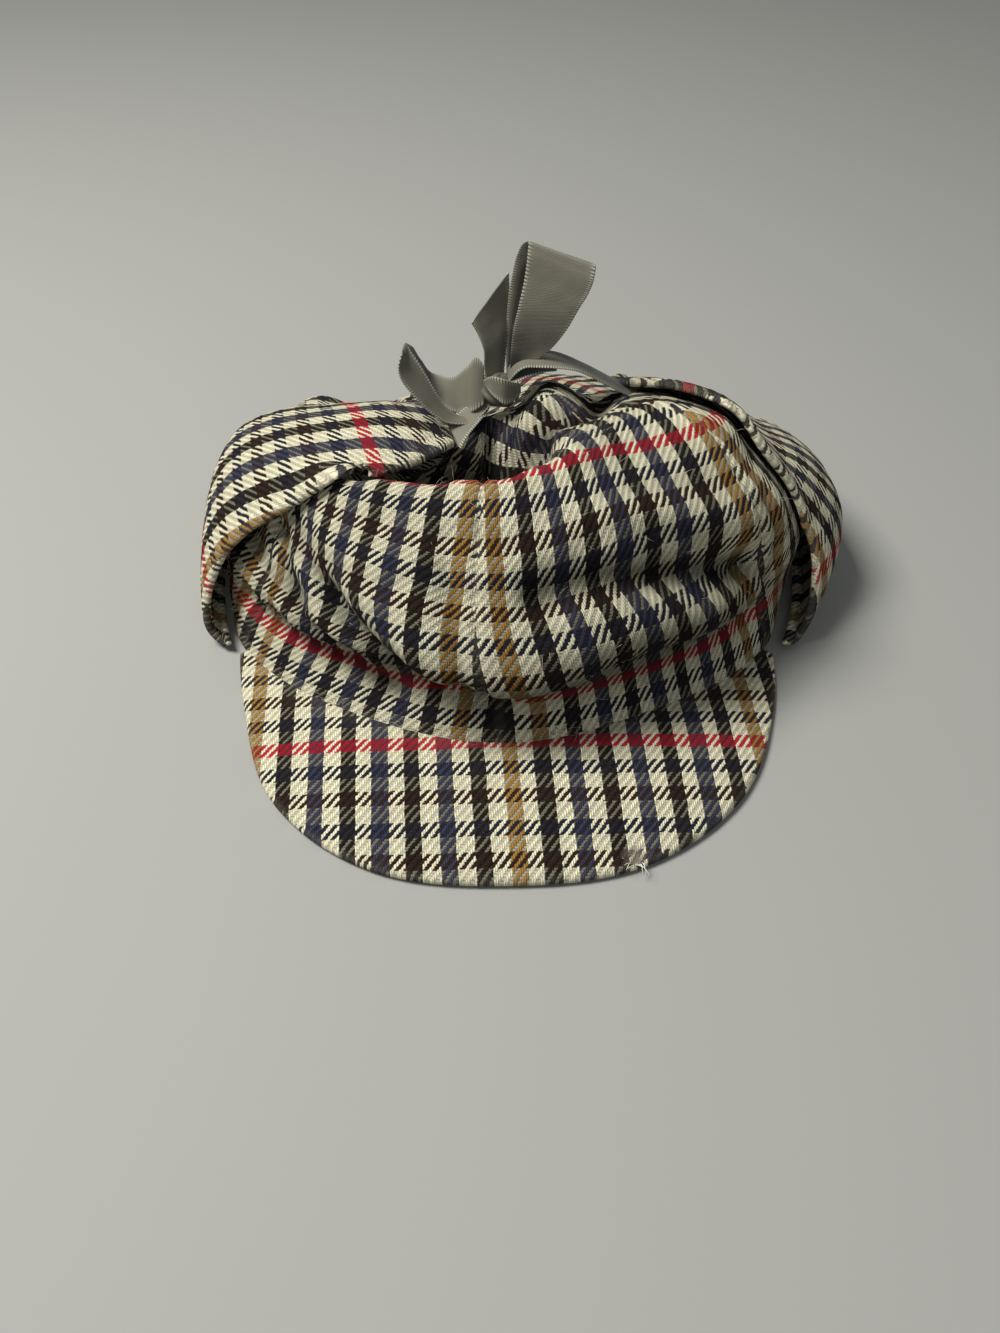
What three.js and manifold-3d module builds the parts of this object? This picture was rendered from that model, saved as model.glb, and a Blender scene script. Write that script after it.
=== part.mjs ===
// Tweed deerstalker hat, its ear flaps turned up and tied over the crown with a ribbon bow.
// Millimetres, +Z up, front peak toward -Y, resting on the rim of the head opening.
// Every cloth piece is a thin wall: an outer surface worked out from a short table of
// sections, and an inner one a wall's thickness behind it.
import * as THREE from 'three';
import { mergeVertices } from 'three/addons/utils/BufferGeometryUtils.js';
import Module from 'manifold-3d';

// ---- driving sizes ---------------------------------------------------------
const CROWN_WALL = 2.0;        // tweed with its seam allowances
const FLAP_WALL = 2.5;         // two layers of tweed
const PEAK_WALL = 2.8;         // tweed round a stiffener
const RIBBON_WALL = 1.0;       // ribbon, thickened to a solid
const NORMAL_BLEND_V = 116;    // past this the wall's thickness is taken straight down
const APEX_Z = 63;             // top of the cloth under the knot
const RIM_RISE = 10.7;         // how far the rim lifts at the front centre
const RIM_FLAT = 0.72;         // taken off that rise, so the sides of the rim lie flat
const RIM_BACK = 0.6;          // rise at the back, as a share of the front's
const FOLD_SPREAD = 1.3;        // folds of the wall are this much wider than the table's, so that the facets carry them
const FOLD_SHARE = 0.85;        // and this much of its depth
const PEAK_EDGE_Z = 3.0;       // top of a peak's outer edge
const PEAK_HALF_ANGLE = 58;    // degrees either side of centre that a peak spans
const PEAK_GAP = 0.8;          // between the rim and a peak's seam edge
const FLAP_LENGTH = 146;       // rim to tip, along the cloth
const FLAP_CLEAR = 1.6;        // between a flap's lining side and the crown
const MOTH_HOLE = { x: 33.6, y: -130.6, radius: 2.2, depth: 1.2 };
const STEPS = { crownAround: 72, crownUp: 24, flapAlong: 18, flapAcross: 8, peakAround: 20, peakOut: 4, ribbon: 2 };

// ---- tables ----------------------------------------------------------------
// Levels of the crown: distance up the cloth from the rim seam, and the centre
// that the radii of the level are measured from.
const LEVEL_COLUMNS = ['name', 'v', 'cx', 'cy'];
const LEVELS = [
  ['rim', 0, 0, 0], ['crease', 16, 0, 0], ['belly', 32, -1, 0], ['flank', 50, -3, 2], ['shoulder', 70, -5, 5],
  ['ridge', 92, -6, 8], ['inner', 104, -6, 6], ['dip', 128, -7, -8], ['apex', 160, -8, -13],
];
// Sections of the crown, one row for each 30 degrees: 0 front, 90 right, 180 back, 270 left.
const CROWN_COLUMNS = ['azimuth', 'rimR', 'creaseR', 'creaseZ', 'bellyR', 'bellyZ', 'flankR', 'flankZ',
  'shoulderR', 'shoulderZ', 'ridgeR', 'ridgeZ', 'innerR', 'innerZ', 'dipR', 'dipZ'];
const CROWN = [
  [0, 97.4, 93.5, 25, 99, 35, 94, 49, 83, 61, 67, 70, 59, 58, 28, 43],
  [30, 92.6, 88, 21, 93.5, 33, 89.5, 48, 79, 63, 65, 73, 56, 76, 32, 69],
  [60, 94.8, 92, 17, 94, 31, 93, 47, 86, 61, 76, 73, 62, 75.5, 36, 75],
  [90, 92, 97, 14, 98, 28, 88, 41, 73, 50, 58, 56, 50, 60, 30, 68],
  [120, 94.8, 96.5, 14, 95, 24, 84, 32, 67, 37, 52, 42, 45, 45, 28, 53],
  [150, 95.2, 95, 14, 89, 21, 78, 28, 63, 34, 48, 40, 42, 42, 26, 50],
  [180, 97, 94, 13, 88, 19, 77, 25, 63, 30, 48, 34, 41, 36, 24, 46],
  [210, 95.2, 93, 11, 85, 16, 74, 21, 59, 26, 45, 31, 38, 33, 24, 42],
  [240, 95, 94, 12, 90, 20, 78, 26, 63, 32, 50, 38, 42, 39.5, 26, 44],
  [270, 92, 94, 13, 91, 26, 77, 39, 65, 48, 52, 53, 44, 52.5, 26, 49],
  [300, 96, 92, 15.5, 90, 29, 78, 42, 70, 51, 62, 57, 53, 55, 30, 48],
  [330, 94.9, 88, 20, 93.5, 33, 87, 47, 76, 58, 66, 65, 58, 54, 30, 43],
];
// Dents (depth below 0) and rolls (above 0), each along a curve through three points of the crown.
const FOLD_COLUMNS = ['name', 'a1', 'v1', 'a2', 'v2', 'a3', 'v3', 'width', 'depth'];
const FOLDS = [
  ['front_left_crease', -34, 44, -21, 33, -4, 15, 7, -5.5],
  ['front_left_roll', -24, 50, -12, 38, 2, 30, 11, 3],
  ['right_diagonal_crease', 8, 58, 24, 57, 50, 44, 7, -5.5],
  ['right_belly', 28, 72, 45, 66, 58, 54, 12, 4],
  ['right_under_roll', 14, 42, 28, 42, 40, 36, 9, 2.5],
  ['ridge_lip', -24, 95, 6, 97, 30, 96, 6, 2.5],
  ['hollow_wall', -38, 107, -14, 109, 12, 110, 9, -6],
  ['hollow_groove', 29, 124, 48, 128, 74, 127, 5, -4],
  ['rolled_fold', 87, 139.5, 44, 137, 35, 126, 7, 6],
  ['back_crease', 130, 46, 175, 52, 225, 44, 7, -3],
  ['back_roll', 135, 62, 180, 66, 220, 60, 10, 1.5],
  ['left_crease', -75, 50, -62, 40, -44, 40, 6, -2.5],
];
// Outer edge of a peak by angle from its centre line.
const PEAK_COLUMNS = ['angle', 'radius'];
const REAR_PEAK = [[-60, 96.8], [-45, 100.5], [-30, 105], [-15, 111.5], [0, 114.5], [15, 111.5], [30, 105], [45, 100.5], [60, 96.8]];
const PEAK = [[-60, 96.8], [-45, 110], [-30, 129], [-15, 138.6], [0, 138.6], [15, 137.4], [30, 128.2], [45, 111.3], [60, 96.3]];
// Sections of an ear flap: distance along the cloth, then front edge, middle and back edge.
const FLAP_COLUMNS = ['s', 'frontX', 'frontY', 'frontZ', 'midX', 'midY', 'midZ', 'backX', 'backY', 'backZ'];
const FLAP_LEFT = [
  [0, -85.5, -49, 3.2, -94.6, 0, 3.2, -85.5, 49, 3.2],
  [6, -89.5, -48, 1.4, -97, 0, 1.4, -89.5, 48, 1.4],
  [14, -94, -46, 5, -100, 0, 6, -94, 46, 5],
  [24, -94.5, -45, 13, -99.5, 0, 16, -93, 44, 13],
  [40, -90, -42.5, 26, -96, -2, 33, -90, 38, 24],
  [58, -81, -42.5, 39, -87, -6, 49, -84, 28, 33],
  [80, -62.5, -46, 54, -71, -12, 61, -72, 18, 44],
  [104, -41, -47.5, 64, -50, -18, 68, -56, 8, 52],
  [126, -24.5, -41, 66.5, -33, -19, 70, -41, -2, 60],
  [146, -14.5, -31.5, 66, -19, -20, 69, -25, -12, 67],
];
const FLAP_RIGHT = [
  [0, 85.5, -49, 3.2, 96.2, 0, 3.2, 85.5, 49, 3.2],
  [6, 90.5, -47.5, 1.4, 100.6, 0, 1.4, 90.5, 48, 1.4],
  [14, 94, -45.5, 5, 105, 0, 6, 95, 46, 5],
  [24, 95, -45, 13, 109, -4, 15, 97, 44, 13],
  [40, 95, -36, 27, 108, -6, 30, 97, 40, 25],
  [58, 88, -30, 42, 97, -5, 43, 91, 36, 32],
  [80, 73, -29, 57, 79, -3, 51, 78, 33, 36],
  [104, 54.5, -24, 69, 60, 2, 58, 67, 29, 42],
  [126, 42, -17, 73, 47, 5, 63, 54, 26, 48],
  [146, 30, -9, 75, 35, 4, 68, 40, 18, 57],
];
// Ribbons: the two edges of the ribbon at each station, gathered narrower where it enters the knot.
const RIBBON_COLUMNS = ['leftX', 'leftY', 'leftZ', 'rightX', 'rightY', 'rightZ'];
const RIBBONS = {
  bow_loop_tall: [
    [-0.8, -15.5, 81.5, -2.6, -5, 77.8],
    [-0.3, -14.5, 88, -1.7, 4, 80],
    [0.4, -13.5, 95, -0.2, 7, 85.2],
    [1.4, -13, 102.4, 4, 7, 91.8],
    [3, -13, 111.6, 13, 4, 98.8],
    [4.2, -14, 116.4, 21.6, 1, 104.3],
    [5.4, -16.5, 118.2, 24.4, -3.5, 106.7],
    [6.2, -16, 116.2, 24.5, -7, 105.8],
    [6, -13, 109.3, 23, -5, 98.5],
    [5, -9.5, 99, 20.1, 1.5, 86.6],
    [4.6, -5, 88.4, 15.6, 5.5, 80],
  ],
  bow_tail: [
    [-5.4, -20.5, 81.4, -3.2, -16.5, 81],
    [-6.2, -21.8, 85.4, -2.6, -15.2, 85.2],
    [-7.2, -22, 91.8, -1.9, -14.8, 94.6],
    [-8.7, -22, 95.7, -1.2, -14.8, 102.2],
    [-10.3, -22, 98.4, -0.6, -15, 108.6],
  ],
  bow_loop_left: [
    [-9, -22.5, 70.4, -9.6, -15.5, 71.6],
    [-12, -24.5, 69.2, -12.7, -14, 70.2],
    [-17.6, -26, 70.2, -16.3, -12, 70.6],
    [-24.6, -26, 74.6, -21.2, -8, 71.8],
    [-29.2, -24, 80.8, -26, -5, 75.6],
    [-31.6, -20, 84.4, -29.4, -3, 81.9],
    [-29.5, -13, 81.9, -25.6, 2, 79.2],
    [-25.1, -11, 77.4, -21, 5, 76.9],
    [-19.7, -14, 76, -15.7, 2, 77.5],
    [-14.2, -20, 75.4, -9.7, -6, 79.6],
    [-9.4, -21, 75.2, -7.8, -12, 78.1],
  ],
  tie_left: [
    [-12.2, -28, 64.8, -13.6, -19.5, 66],
    [-10.2, -26, 66, -11, -17, 66.6],
    [-8.4, -23, 67.6, -9, -15.5, 68],
  ],
  tie_right: [
    [4.2, -19.6, 77.8, 3.8, -9, 76.4],
    [6.6, -21, 81, 6.2, -8, 79],
    [11, -22, 84, 12, -6.5, 81],
    [18.7, -20, 83, 20.5, -3.5, 78.6],
    [24.6, -17.5, 80.5, 26.5, 0, 75],
  ],
  bow_tail_right: [
    [3.6, -22.8, 79.6, 3.6, -17, 79.8],
    [5.6, -25.5, 84, 5.6, -15, 83.6],
    [9, -27, 87.6, 9.2, -13, 86.4],
    [13, -26.5, 88.4, 14, -12, 86],
  ],
};
// The knot is a rounded lump with a wrapped waist.
const KNOT = { x: -2, y: -17.5, z: 75, rx: 5.2, ry: 4.4, rz: 4.0, waist: 0.08, around: 16, up: 10 };

// ---- finishes --------------------------------------------------------------
const finish = (color, roughness) => new THREE.MeshStandardMaterial({ color, roughness, metalness: 0 });
const TWEED = () => finish('#7d7565', 0.92);
const RIBBON = () => finish('#76766a', 0.55);

// ---- interpolation ---------------------------------------------------------
const RAD = Math.PI / 180;
const V3 = (x, y, z) => new THREE.Vector3(x, y, z);
function smooth(knots, vals, x) {
  const n = knots.length, d = [], m = [];
  for (let i = 0; i < n - 1; i++) d.push((vals[i + 1] - vals[i]) / (knots[i + 1] - knots[i]));
  for (let i = 1; i < n - 1; i++) {
    const h0 = knots[i] - knots[i - 1], h1 = knots[i + 1] - knots[i];
    m[i] = (d[i - 1] * h1 + d[i] * h0) / (h0 + h1);
  }
  m[0] = n > 2 ? 1.5 * d[0] - 0.5 * m[1] : d[0];
  m[n - 1] = n > 2 ? 1.5 * d[n - 2] - 0.5 * m[n - 2] : d[0];
  let i = 0;
  while (i < n - 2 && x >= knots[i + 1]) i++;
  const h = knots[i + 1] - knots[i], t = (x - knots[i]) / h;
  return (2 * t ** 3 - 3 * t ** 2 + 1) * vals[i] + (t ** 3 - 2 * t ** 2 + t) * m[i] * h
    + (-2 * t ** 3 + 3 * t ** 2) * vals[i + 1] + (t ** 3 - t ** 2) * m[i + 1] * h;
}
function around(rows, col, az) {
  const n = rows.length, q = (((az % 360) + 360) % 360) / (360 / n), i = Math.floor(q), t = q - i;
  const [a, b, c, d] = [-1, 0, 1, 2].map((k) => rows[(i + k + n) % n][col]);
  return b + 0.5 * t * (c - a + t * (2 * a - 5 * b + 4 * c - d + t * (3 * (b - c) + d - a)));
}

// ---- crown -----------------------------------------------------------------
function rimZ(az) {
  const c = Math.cos(az * RAD);
  return Math.max(0, (RIM_RISE * c * c - RIM_FLAT) * (c < 0 ? RIM_BACK : 1));
}
const LEVEL_V = LEVELS.map((l) => l[1]);
function crownBase(az, v) {
  const r = [around(CROWN, 1, az)], z = [rimZ(az)];
  for (let k = 2; k < CROWN_COLUMNS.length; k += 2) { r.push(around(CROWN, k, az)); z.push(around(CROWN, k + 1, az)); }
  r.push(0); z.push(APEX_Z);
  const s = Math.sin(az * RAD), c = Math.cos(az * RAD);
  return V3(smooth(LEVEL_V, LEVELS.map((l, i) => l[2] + r[i] * s), v),
    smooth(LEVEL_V, LEVELS.map((l, i) => l[3] - r[i] * c), v), smooth(LEVEL_V, z, v));
}
function surfaceNormal(f, a, b, ea, eb, lo, hi) {
  const u = f(a + ea, b).sub(f(a - ea, b)), w = f(a, Math.min(hi, b + eb)).sub(f(a, Math.max(lo, b - eb)));
  return u.cross(w).normalize();
}
const V_TOP = LEVEL_V[LEVEL_V.length - 1];
const FOLD_CURVES = FOLDS.map(([, a1, v1, a2, v2, a3, v3]) => {
  const pts = [], n = 14;
  for (let i = 0; i < n; i++) {
    const t = i / (n - 1), q = 1 - t;
    pts.push(crownBase(q * q * a1 + 2 * t * q * (2 * a2 - 0.5 * (a1 + a3)) + t * t * a3,
      q * q * v1 + 2 * t * q * (2 * v2 - 0.5 * (v1 + v3)) + t * t * v3));
  }
  return pts;
});
const segment = new THREE.Line3(), nearest = new THREE.Vector3();
function distanceTo(curve, p) {
  let best = Infinity;
  for (let i = 0; i < curve.length - 1; i++) {
    segment.set(curve[i], curve[i + 1]).closestPointToPoint(p, true, nearest);
    best = Math.min(best, nearest.distanceTo(p));
  }
  return best;
}
function crown(az, v) {
  const p = crownBase(az, v);
  const n = surfaceNormal(crownBase, az, Math.min(v, V_TOP - 4), 2, 2, 0, V_TOP);
  let d = 0;
  FOLDS.forEach((f, i) => { d += FOLD_SHARE * f[8] * Math.exp(-((distanceTo(FOLD_CURVES[i], p) / (f[7] * FOLD_SPREAD)) ** 2)); });
  const fade = Math.min(1, Math.max(0, v / 10)) * Math.min(1, Math.max(0, (V_TOP - v) / 12));
  return p.addScaledVector(n, d * fade);
}

// ---- closed walls ----------------------------------------------------------
function geometryOf(verts, tris) {
  const g = new THREE.BufferGeometry();
  g.setAttribute('position', new THREE.Float32BufferAttribute(verts.flatMap((v) => [v.x, v.y, v.z]), 3));
  g.setIndex(tris.flat());
  g.computeVertexNormals();
  return g;
}
// A sheet with four free edges: out[i][j] is seen from outside with i to the right and j up.
function wallFromGrids(out, inn) {
  const ni = out.length, nj = out[0].length, verts = [...out.flat(), ...inn.flat()], tris = [];
  const O = (i, j) => i * nj + j, I = (i, j) => ni * nj + i * nj + j;
  for (let i = 0; i < ni - 1; i++) for (let j = 0; j < nj - 1; j++) {
    tris.push([O(i, j), O(i + 1, j), O(i + 1, j + 1)], [O(i, j), O(i + 1, j + 1), O(i, j + 1)]);
    tris.push([I(i, j), I(i + 1, j + 1), I(i + 1, j)], [I(i, j), I(i, j + 1), I(i + 1, j + 1)]);
  }
  const edge = (a, b, c, d) => tris.push([a, b, c], [a, c, d]);
  for (let i = 0; i < ni - 1; i++) {
    edge(O(i + 1, 0), O(i, 0), I(i, 0), I(i + 1, 0));
    edge(O(i, nj - 1), O(i + 1, nj - 1), I(i + 1, nj - 1), I(i, nj - 1));
  }
  for (let j = 0; j < nj - 1; j++) {
    edge(O(0, j), O(0, j + 1), I(0, j + 1), I(0, j));
    edge(O(ni - 1, j + 1), O(ni - 1, j), I(ni - 1, j), I(ni - 1, j + 1));
  }
  return geometryOf(verts, tris);
}
// Samples of the crown's outer surface, used to keep flaps and ribbons off it.
const UP = V3(0, 0, 1);
const crownGrid = [];
for (let az = 0; az < 360; az += 4) for (let v = 0; v <= 156; v += 4) {
  crownGrid.push({ p: crown(az, v), n: surfaceNormal(crown, az, v, 3, 3, 0, V_TOP) });
}
function crownGeometry() {
  const na = STEPS.crownAround, nv = STEPS.crownUp, verts = [], tris = [];
  const ring = (i, j, side) => side * (na * nv + 1) + j * na + (i % na), tip = (side) => side * (na * nv + 1) + na * nv;
  const inner = [];
  for (let j = 0; j < nv; j++) for (let i = 0; i < na; i++) {
    const az = i * 360 / na, v = V_TOP * 0.965 * j / (nv - 1);
    const p = crown(az, v), n = surfaceNormal(crown, az, v, 3, 3, 0, V_TOP);
    n.lerp(UP, Math.min(1, Math.max(0, (v - NORMAL_BLEND_V) / 20))).normalize();
    const q = p.clone().addScaledVector(n, -CROWN_WALL);
    if (j === 0) q.z = p.z;
    verts.push(p); inner.push(q);
  }
  const a = crown(0, V_TOP);
  verts.push(a, ...inner, a.clone().setZ(a.z - CROWN_WALL));
  for (let i = 0; i < na; i++) {
    for (let j = 0; j < nv - 1; j++) {
      tris.push([ring(i, j, 0), ring(i + 1, j, 0), ring(i + 1, j + 1, 0)], [ring(i, j, 0), ring(i + 1, j + 1, 0), ring(i, j + 1, 0)]);
      tris.push([ring(i, j, 1), ring(i + 1, j + 1, 1), ring(i + 1, j, 1)], [ring(i, j, 1), ring(i, j + 1, 1), ring(i + 1, j + 1, 1)]);
    }
    tris.push([ring(i, nv - 1, 0), ring(i + 1, nv - 1, 0), tip(0)], [ring(i + 1, nv - 1, 1), ring(i, nv - 1, 1), tip(1)]);
    tris.push([ring(i + 1, 0, 0), ring(i, 0, 0), ring(i, 0, 1)], [ring(i + 1, 0, 0), ring(i, 0, 1), ring(i + 1, 0, 1)]);
  }
  return geometryOf(verts, tris);
}
// Lifts a point that comes too near the crown until it clears it.
function clearOfCrown(p, clearance) {
  for (let pass = 0; pass < 4; pass++) {
    let best = Infinity, at = null;
    for (const g of crownGrid) { const d = g.p.distanceToSquared(p); if (d < best) { best = d; at = g; } }
    const h = p.clone().sub(at.p).dot(at.n);
    if (h >= clearance - 0.05) break;
    p.addScaledVector(at.n, clearance - h);
  }
  return p;
}

// ---- peaks -----------------------------------------------------------------
function peakPoint(angle, q, turn) {
  const az = angle + turn, rows = turn ? REAR_PEAK : PEAK, ro = smooth(rows.map((r) => r[0]), rows.map((r) => r[1]), angle);
  const ri = around(CROWN, 1, az) + PEAK_GAP, r = ri + (ro - ri) * q;
  const z = Math.max(rimZ(az) + 0.2, PEAK_EDGE_Z) * (1 - q) + PEAK_EDGE_Z * q
    + 1.2 * Math.sin(Math.PI * q) * Math.cos(angle * 1.3 * RAD);
  return V3(r * Math.sin(az * RAD), -r * Math.cos(az * RAD), z);
}
function peakGeometry(turn) {
  const out = [], inn = [];
  for (let i = 0; i <= STEPS.peakAround; i++) {
    const angle = PEAK_HALF_ANGLE * (2 * i / STEPS.peakAround - 1), col = [];
    for (let j = 0; j <= STEPS.peakOut; j++) col.push(peakPoint(angle, 1 - j / STEPS.peakOut, turn));
    out.push(col); inn.push(col.map((p) => p.clone().setZ(Math.max(0.2, p.z - PEAK_WALL))));
  }
  return wallFromGrids(out, inn);
}

// ---- flaps -----------------------------------------------------------------
function flapPoint(table, s, w) {
  const knots = table.map((r) => r[0]), at = (c) => smooth(knots, table.map((r) => r[c]), s);
  const k = [w * (w - 1) / 2, 1 - w * w, w * (w + 1) / 2];
  return V3(...[0, 1, 2].map((c) => k[0] * at(1 + c) + k[1] * at(4 + c) + k[2] * at(7 + c)));
}
function flapGeometry(table, side) {
  const ns = STEPS.flapAlong, nw = STEPS.flapAcross, raw = [], out = [], inn = [];
  for (let i = 0; i <= nw; i++) {
    const w = side * (1 - 2 * i / nw), col = [];
    for (let j = 0; j <= ns; j++) {
      const s = FLAP_LENGTH * Math.pow(j / ns, 1.15);
      const p = flapPoint(table, s, w);
      col.push(s > 30 ? clearOfCrown(p, FLAP_WALL + FLAP_CLEAR) : p);
    }
    raw.push(col);
  }
  for (let i = 0; i <= nw; i++) {
    const o = [], n = [];
    for (let j = 0; j <= ns; j++) {
      const u = raw[Math.min(nw, i + 1)][j].clone().sub(raw[Math.max(0, i - 1)][j]);
      const t = raw[i][Math.min(ns, j + 1)].clone().sub(raw[i][Math.max(0, j - 1)]);
      const p = raw[i][j];
      o.push(p); n.push(p.clone().addScaledVector(u.cross(t).normalize(), -FLAP_WALL));
    }
    out.push(o); inn.push(n);
  }
  return wallFromGrids(out, inn);
}

// ---- ribbons and knot ------------------------------------------------------
function ribbonGeometry(rows) {
  const mid = rows.map((r) => V3((r[0] + r[3]) / 2, (r[1] + r[4]) / 2, (r[2] + r[5]) / 2)), knots = [0];
  for (let i = 1; i < mid.length; i++) knots.push(knots[i - 1] + mid[i].distanceTo(mid[i - 1]));
  const total = knots[knots.length - 1], n = STEPS.ribbon * (rows.length - 1);
  const at = (k) => [0, 3].map((o) => V3(...[0, 1, 2].map((c) => smooth(knots, rows.map((r) => r[o + c]), k))));
  const out = [[], []], inn = [[], []];
  for (let i = 0; i <= n; i++) {
    const k = total * i / n, [l, r] = at(k), [l1, r1] = at(Math.min(total, k + 0.5)), [l0, r0] = at(Math.max(0, k - 0.5));
    const along = l1.add(r1).sub(l0).sub(r0), normal = r.clone().sub(l).cross(along).normalize();
    [l, r].forEach((p, e) => {
      out[e].push(p.clone().addScaledVector(normal, RIBBON_WALL / 2));
      inn[e].push(p.clone().addScaledVector(normal, -RIBBON_WALL / 2));
    });
  }
  return wallFromGrids(out, inn);
}
function knotGeometry() {
  const { around: na, up: nu, rx, ry, rz, waist } = KNOT, verts = [V3(0, 0, -rz)], tris = [];
  for (let j = 1; j < nu; j++) for (let i = 0; i < na; i++) {
    const th = Math.PI * (j / nu - 0.5), ph = 2 * Math.PI * i / na;
    const k = 1 - waist * Math.cos(2 * th) * Math.cos(ph) ** 2;
    verts.push(V3(rx * Math.cos(th) * Math.cos(ph) * k, ry * Math.cos(th) * Math.sin(ph) * k, rz * Math.sin(th)));
  }
  verts.push(V3(0, 0, rz));
  const at = (i, j) => 1 + (j - 1) * na + (i % na), top = verts.length - 1;
  for (let i = 0; i < na; i++) {
    tris.push([0, at(i + 1, 1), at(i, 1)], [top, at(i, nu - 1), at(i + 1, nu - 1)]);
    for (let j = 1; j < nu - 1; j++) tris.push([at(i, j), at(i + 1, j), at(i + 1, j + 1)], [at(i, j), at(i + 1, j + 1), at(i, j + 1)]);
  }
  return geometryOf(verts.map((v) => v.add(V3(KNOT.x, KNOT.y, KNOT.z))), tris);
}

// ---- cutting ---------------------------------------------------------------
const wasm = await Module();
wasm.setup();
function solidOf(geometry) {
  const g = geometry.clone();
  g.deleteAttribute('normal'); g.deleteAttribute('uv');
  const m = mergeVertices(g, 1e-4);
  return new wasm.Manifold(new wasm.Mesh({
    numProp: 3, vertProperties: new Float32Array(m.attributes.position.array), triVerts: new Uint32Array(m.index.array),
  }));
}
function geometryFrom(solid) {
  const m = solid.getMesh(), g = new THREE.BufferGeometry(), pos = [];
  for (let i = 0; i < m.vertProperties.length; i += m.numProp) pos.push(m.vertProperties[i], m.vertProperties[i + 1], m.vertProperties[i + 2]);
  g.setAttribute('position', new THREE.Float32BufferAttribute(pos, 3));
  g.setIndex(Array.from(m.triVerts));
  g.computeVertexNormals();
  return g;
}
function withMothHole(geometry) {
  const { x, y, radius, depth } = MOTH_HOLE;
  const drill = new THREE.CylinderGeometry(radius, radius * 0.8, 6, 9).rotateX(Math.PI / 2);
  let top = 0;
  const p = geometry.attributes.position;
  let best = Infinity;
  for (let i = 0; i < p.count; i++) {
    const d = Math.hypot(p.getX(i) - x, p.getY(i) - y);
    if (d < best - 0.01 || (d < best + 0.01 && p.getZ(i) > top)) { best = d; top = p.getZ(i); }
  }
  drill.translate(x, y, top - depth + 3);
  return geometryFrom(solidOf(geometry).subtract(solidOf(drill)));
}

// ---- assembly --------------------------------------------------------------
const hat = new THREE.Group();
function add(name, geometry, material) {
  const mesh = new THREE.Mesh(geometry, material);
  mesh.name = name;
  hat.add(mesh);
}
add('crown', crownGeometry(), TWEED());
add('front_peak', withMothHole(peakGeometry(0)), TWEED());
add('rear_peak', peakGeometry(180), TWEED());
add('ear_flap_left', flapGeometry(FLAP_LEFT, 1), TWEED());
add('ear_flap_right', flapGeometry(FLAP_RIGHT, -1), TWEED());
add('bow_knot', knotGeometry(), RIBBON());
for (const [name, rows] of Object.entries(RIBBONS)) add(name, ribbonGeometry(rows), RIBBON());

// The origin is under the middle of the hat, on the surface that it rests on.
const box = new THREE.Box3().setFromObject(hat), centre = box.getCenter(V3(0, 0, 0));
hat.position.set(-centre.x, -centre.y, -box.min.z);

export default hat;
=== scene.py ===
import math

import bmesh
import bpy
import numpy as np
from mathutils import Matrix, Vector, kdtree


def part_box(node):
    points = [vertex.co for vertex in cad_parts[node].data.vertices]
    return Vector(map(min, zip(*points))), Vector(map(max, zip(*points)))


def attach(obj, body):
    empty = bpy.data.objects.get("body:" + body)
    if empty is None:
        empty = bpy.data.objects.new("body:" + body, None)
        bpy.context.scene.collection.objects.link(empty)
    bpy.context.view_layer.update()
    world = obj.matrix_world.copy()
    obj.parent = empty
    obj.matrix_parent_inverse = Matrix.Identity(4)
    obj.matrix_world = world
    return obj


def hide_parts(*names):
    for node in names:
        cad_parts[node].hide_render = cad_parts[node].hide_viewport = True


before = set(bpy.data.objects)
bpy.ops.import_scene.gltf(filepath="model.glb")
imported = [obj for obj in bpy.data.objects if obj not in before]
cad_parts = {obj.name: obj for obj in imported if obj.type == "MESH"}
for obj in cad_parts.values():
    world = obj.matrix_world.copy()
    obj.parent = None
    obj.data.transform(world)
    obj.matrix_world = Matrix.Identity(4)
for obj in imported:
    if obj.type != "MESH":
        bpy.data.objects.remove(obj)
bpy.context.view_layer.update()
RNG = np.random.default_rng(11)

# ---------------------------------------------------------------- tables
LEVELS = [("rim", 0, 0, 0), ("crease", 16, 0, 0), ("belly", 32, -1, 0), ("flank", 50, -3, 2), ("shoulder", 70, -5, 5), ("ridge", 92, -6, 8), ("inner", 104, -6, 6), ("dip", 128, -7, -8), ("apex", 160, -8, -13)]
APEX_Z = 63.0
CROWN = np.array([
    # azimuth, rimR, then R and Z of each level from crease to dip
    [0, 97.4, 93.5, 25, 99, 35, 94, 49, 83, 61, 67, 70, 59, 58, 28, 43],
    [30, 92.6, 88, 21, 93.5, 33, 89.5, 48, 79, 63, 65, 73, 56, 76, 32, 69],
    [60, 94.8, 92, 17, 94, 31, 93, 47, 86, 61, 76, 73, 62, 75.5, 36, 75],
    [90, 92, 97, 14, 98, 28, 88, 41, 73, 50, 58, 56, 50, 60, 30, 68],
    [120, 94.8, 96.5, 14, 95, 24, 84, 32, 67, 37, 52, 42, 45, 45, 28, 53],
    [150, 95.2, 95, 14, 89, 21, 78, 28, 63, 34, 48, 40, 42, 42, 26, 50],
    [180, 97, 94, 13, 88, 19, 77, 25, 63, 30, 48, 34, 41, 36, 24, 46],
    [210, 95.2, 93, 11, 85, 16, 74, 21, 59, 26, 45, 31, 38, 33, 24, 42],
    [240, 95, 94, 12, 90, 20, 78, 26, 63, 32, 50, 38, 42, 39.5, 26, 44],
    [270, 92, 94, 13, 91, 26, 77, 39, 65, 48, 52, 53, 44, 52.5, 26, 49],
    [300, 96, 92, 15.5, 90, 29, 78, 42, 70, 51, 62, 57, 53, 55, 30, 48],
    [330, 94.9, 88, 20, 93.5, 33, 87, 47, 76, 58, 66, 65, 58, 54, 30, 43]], float)
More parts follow.
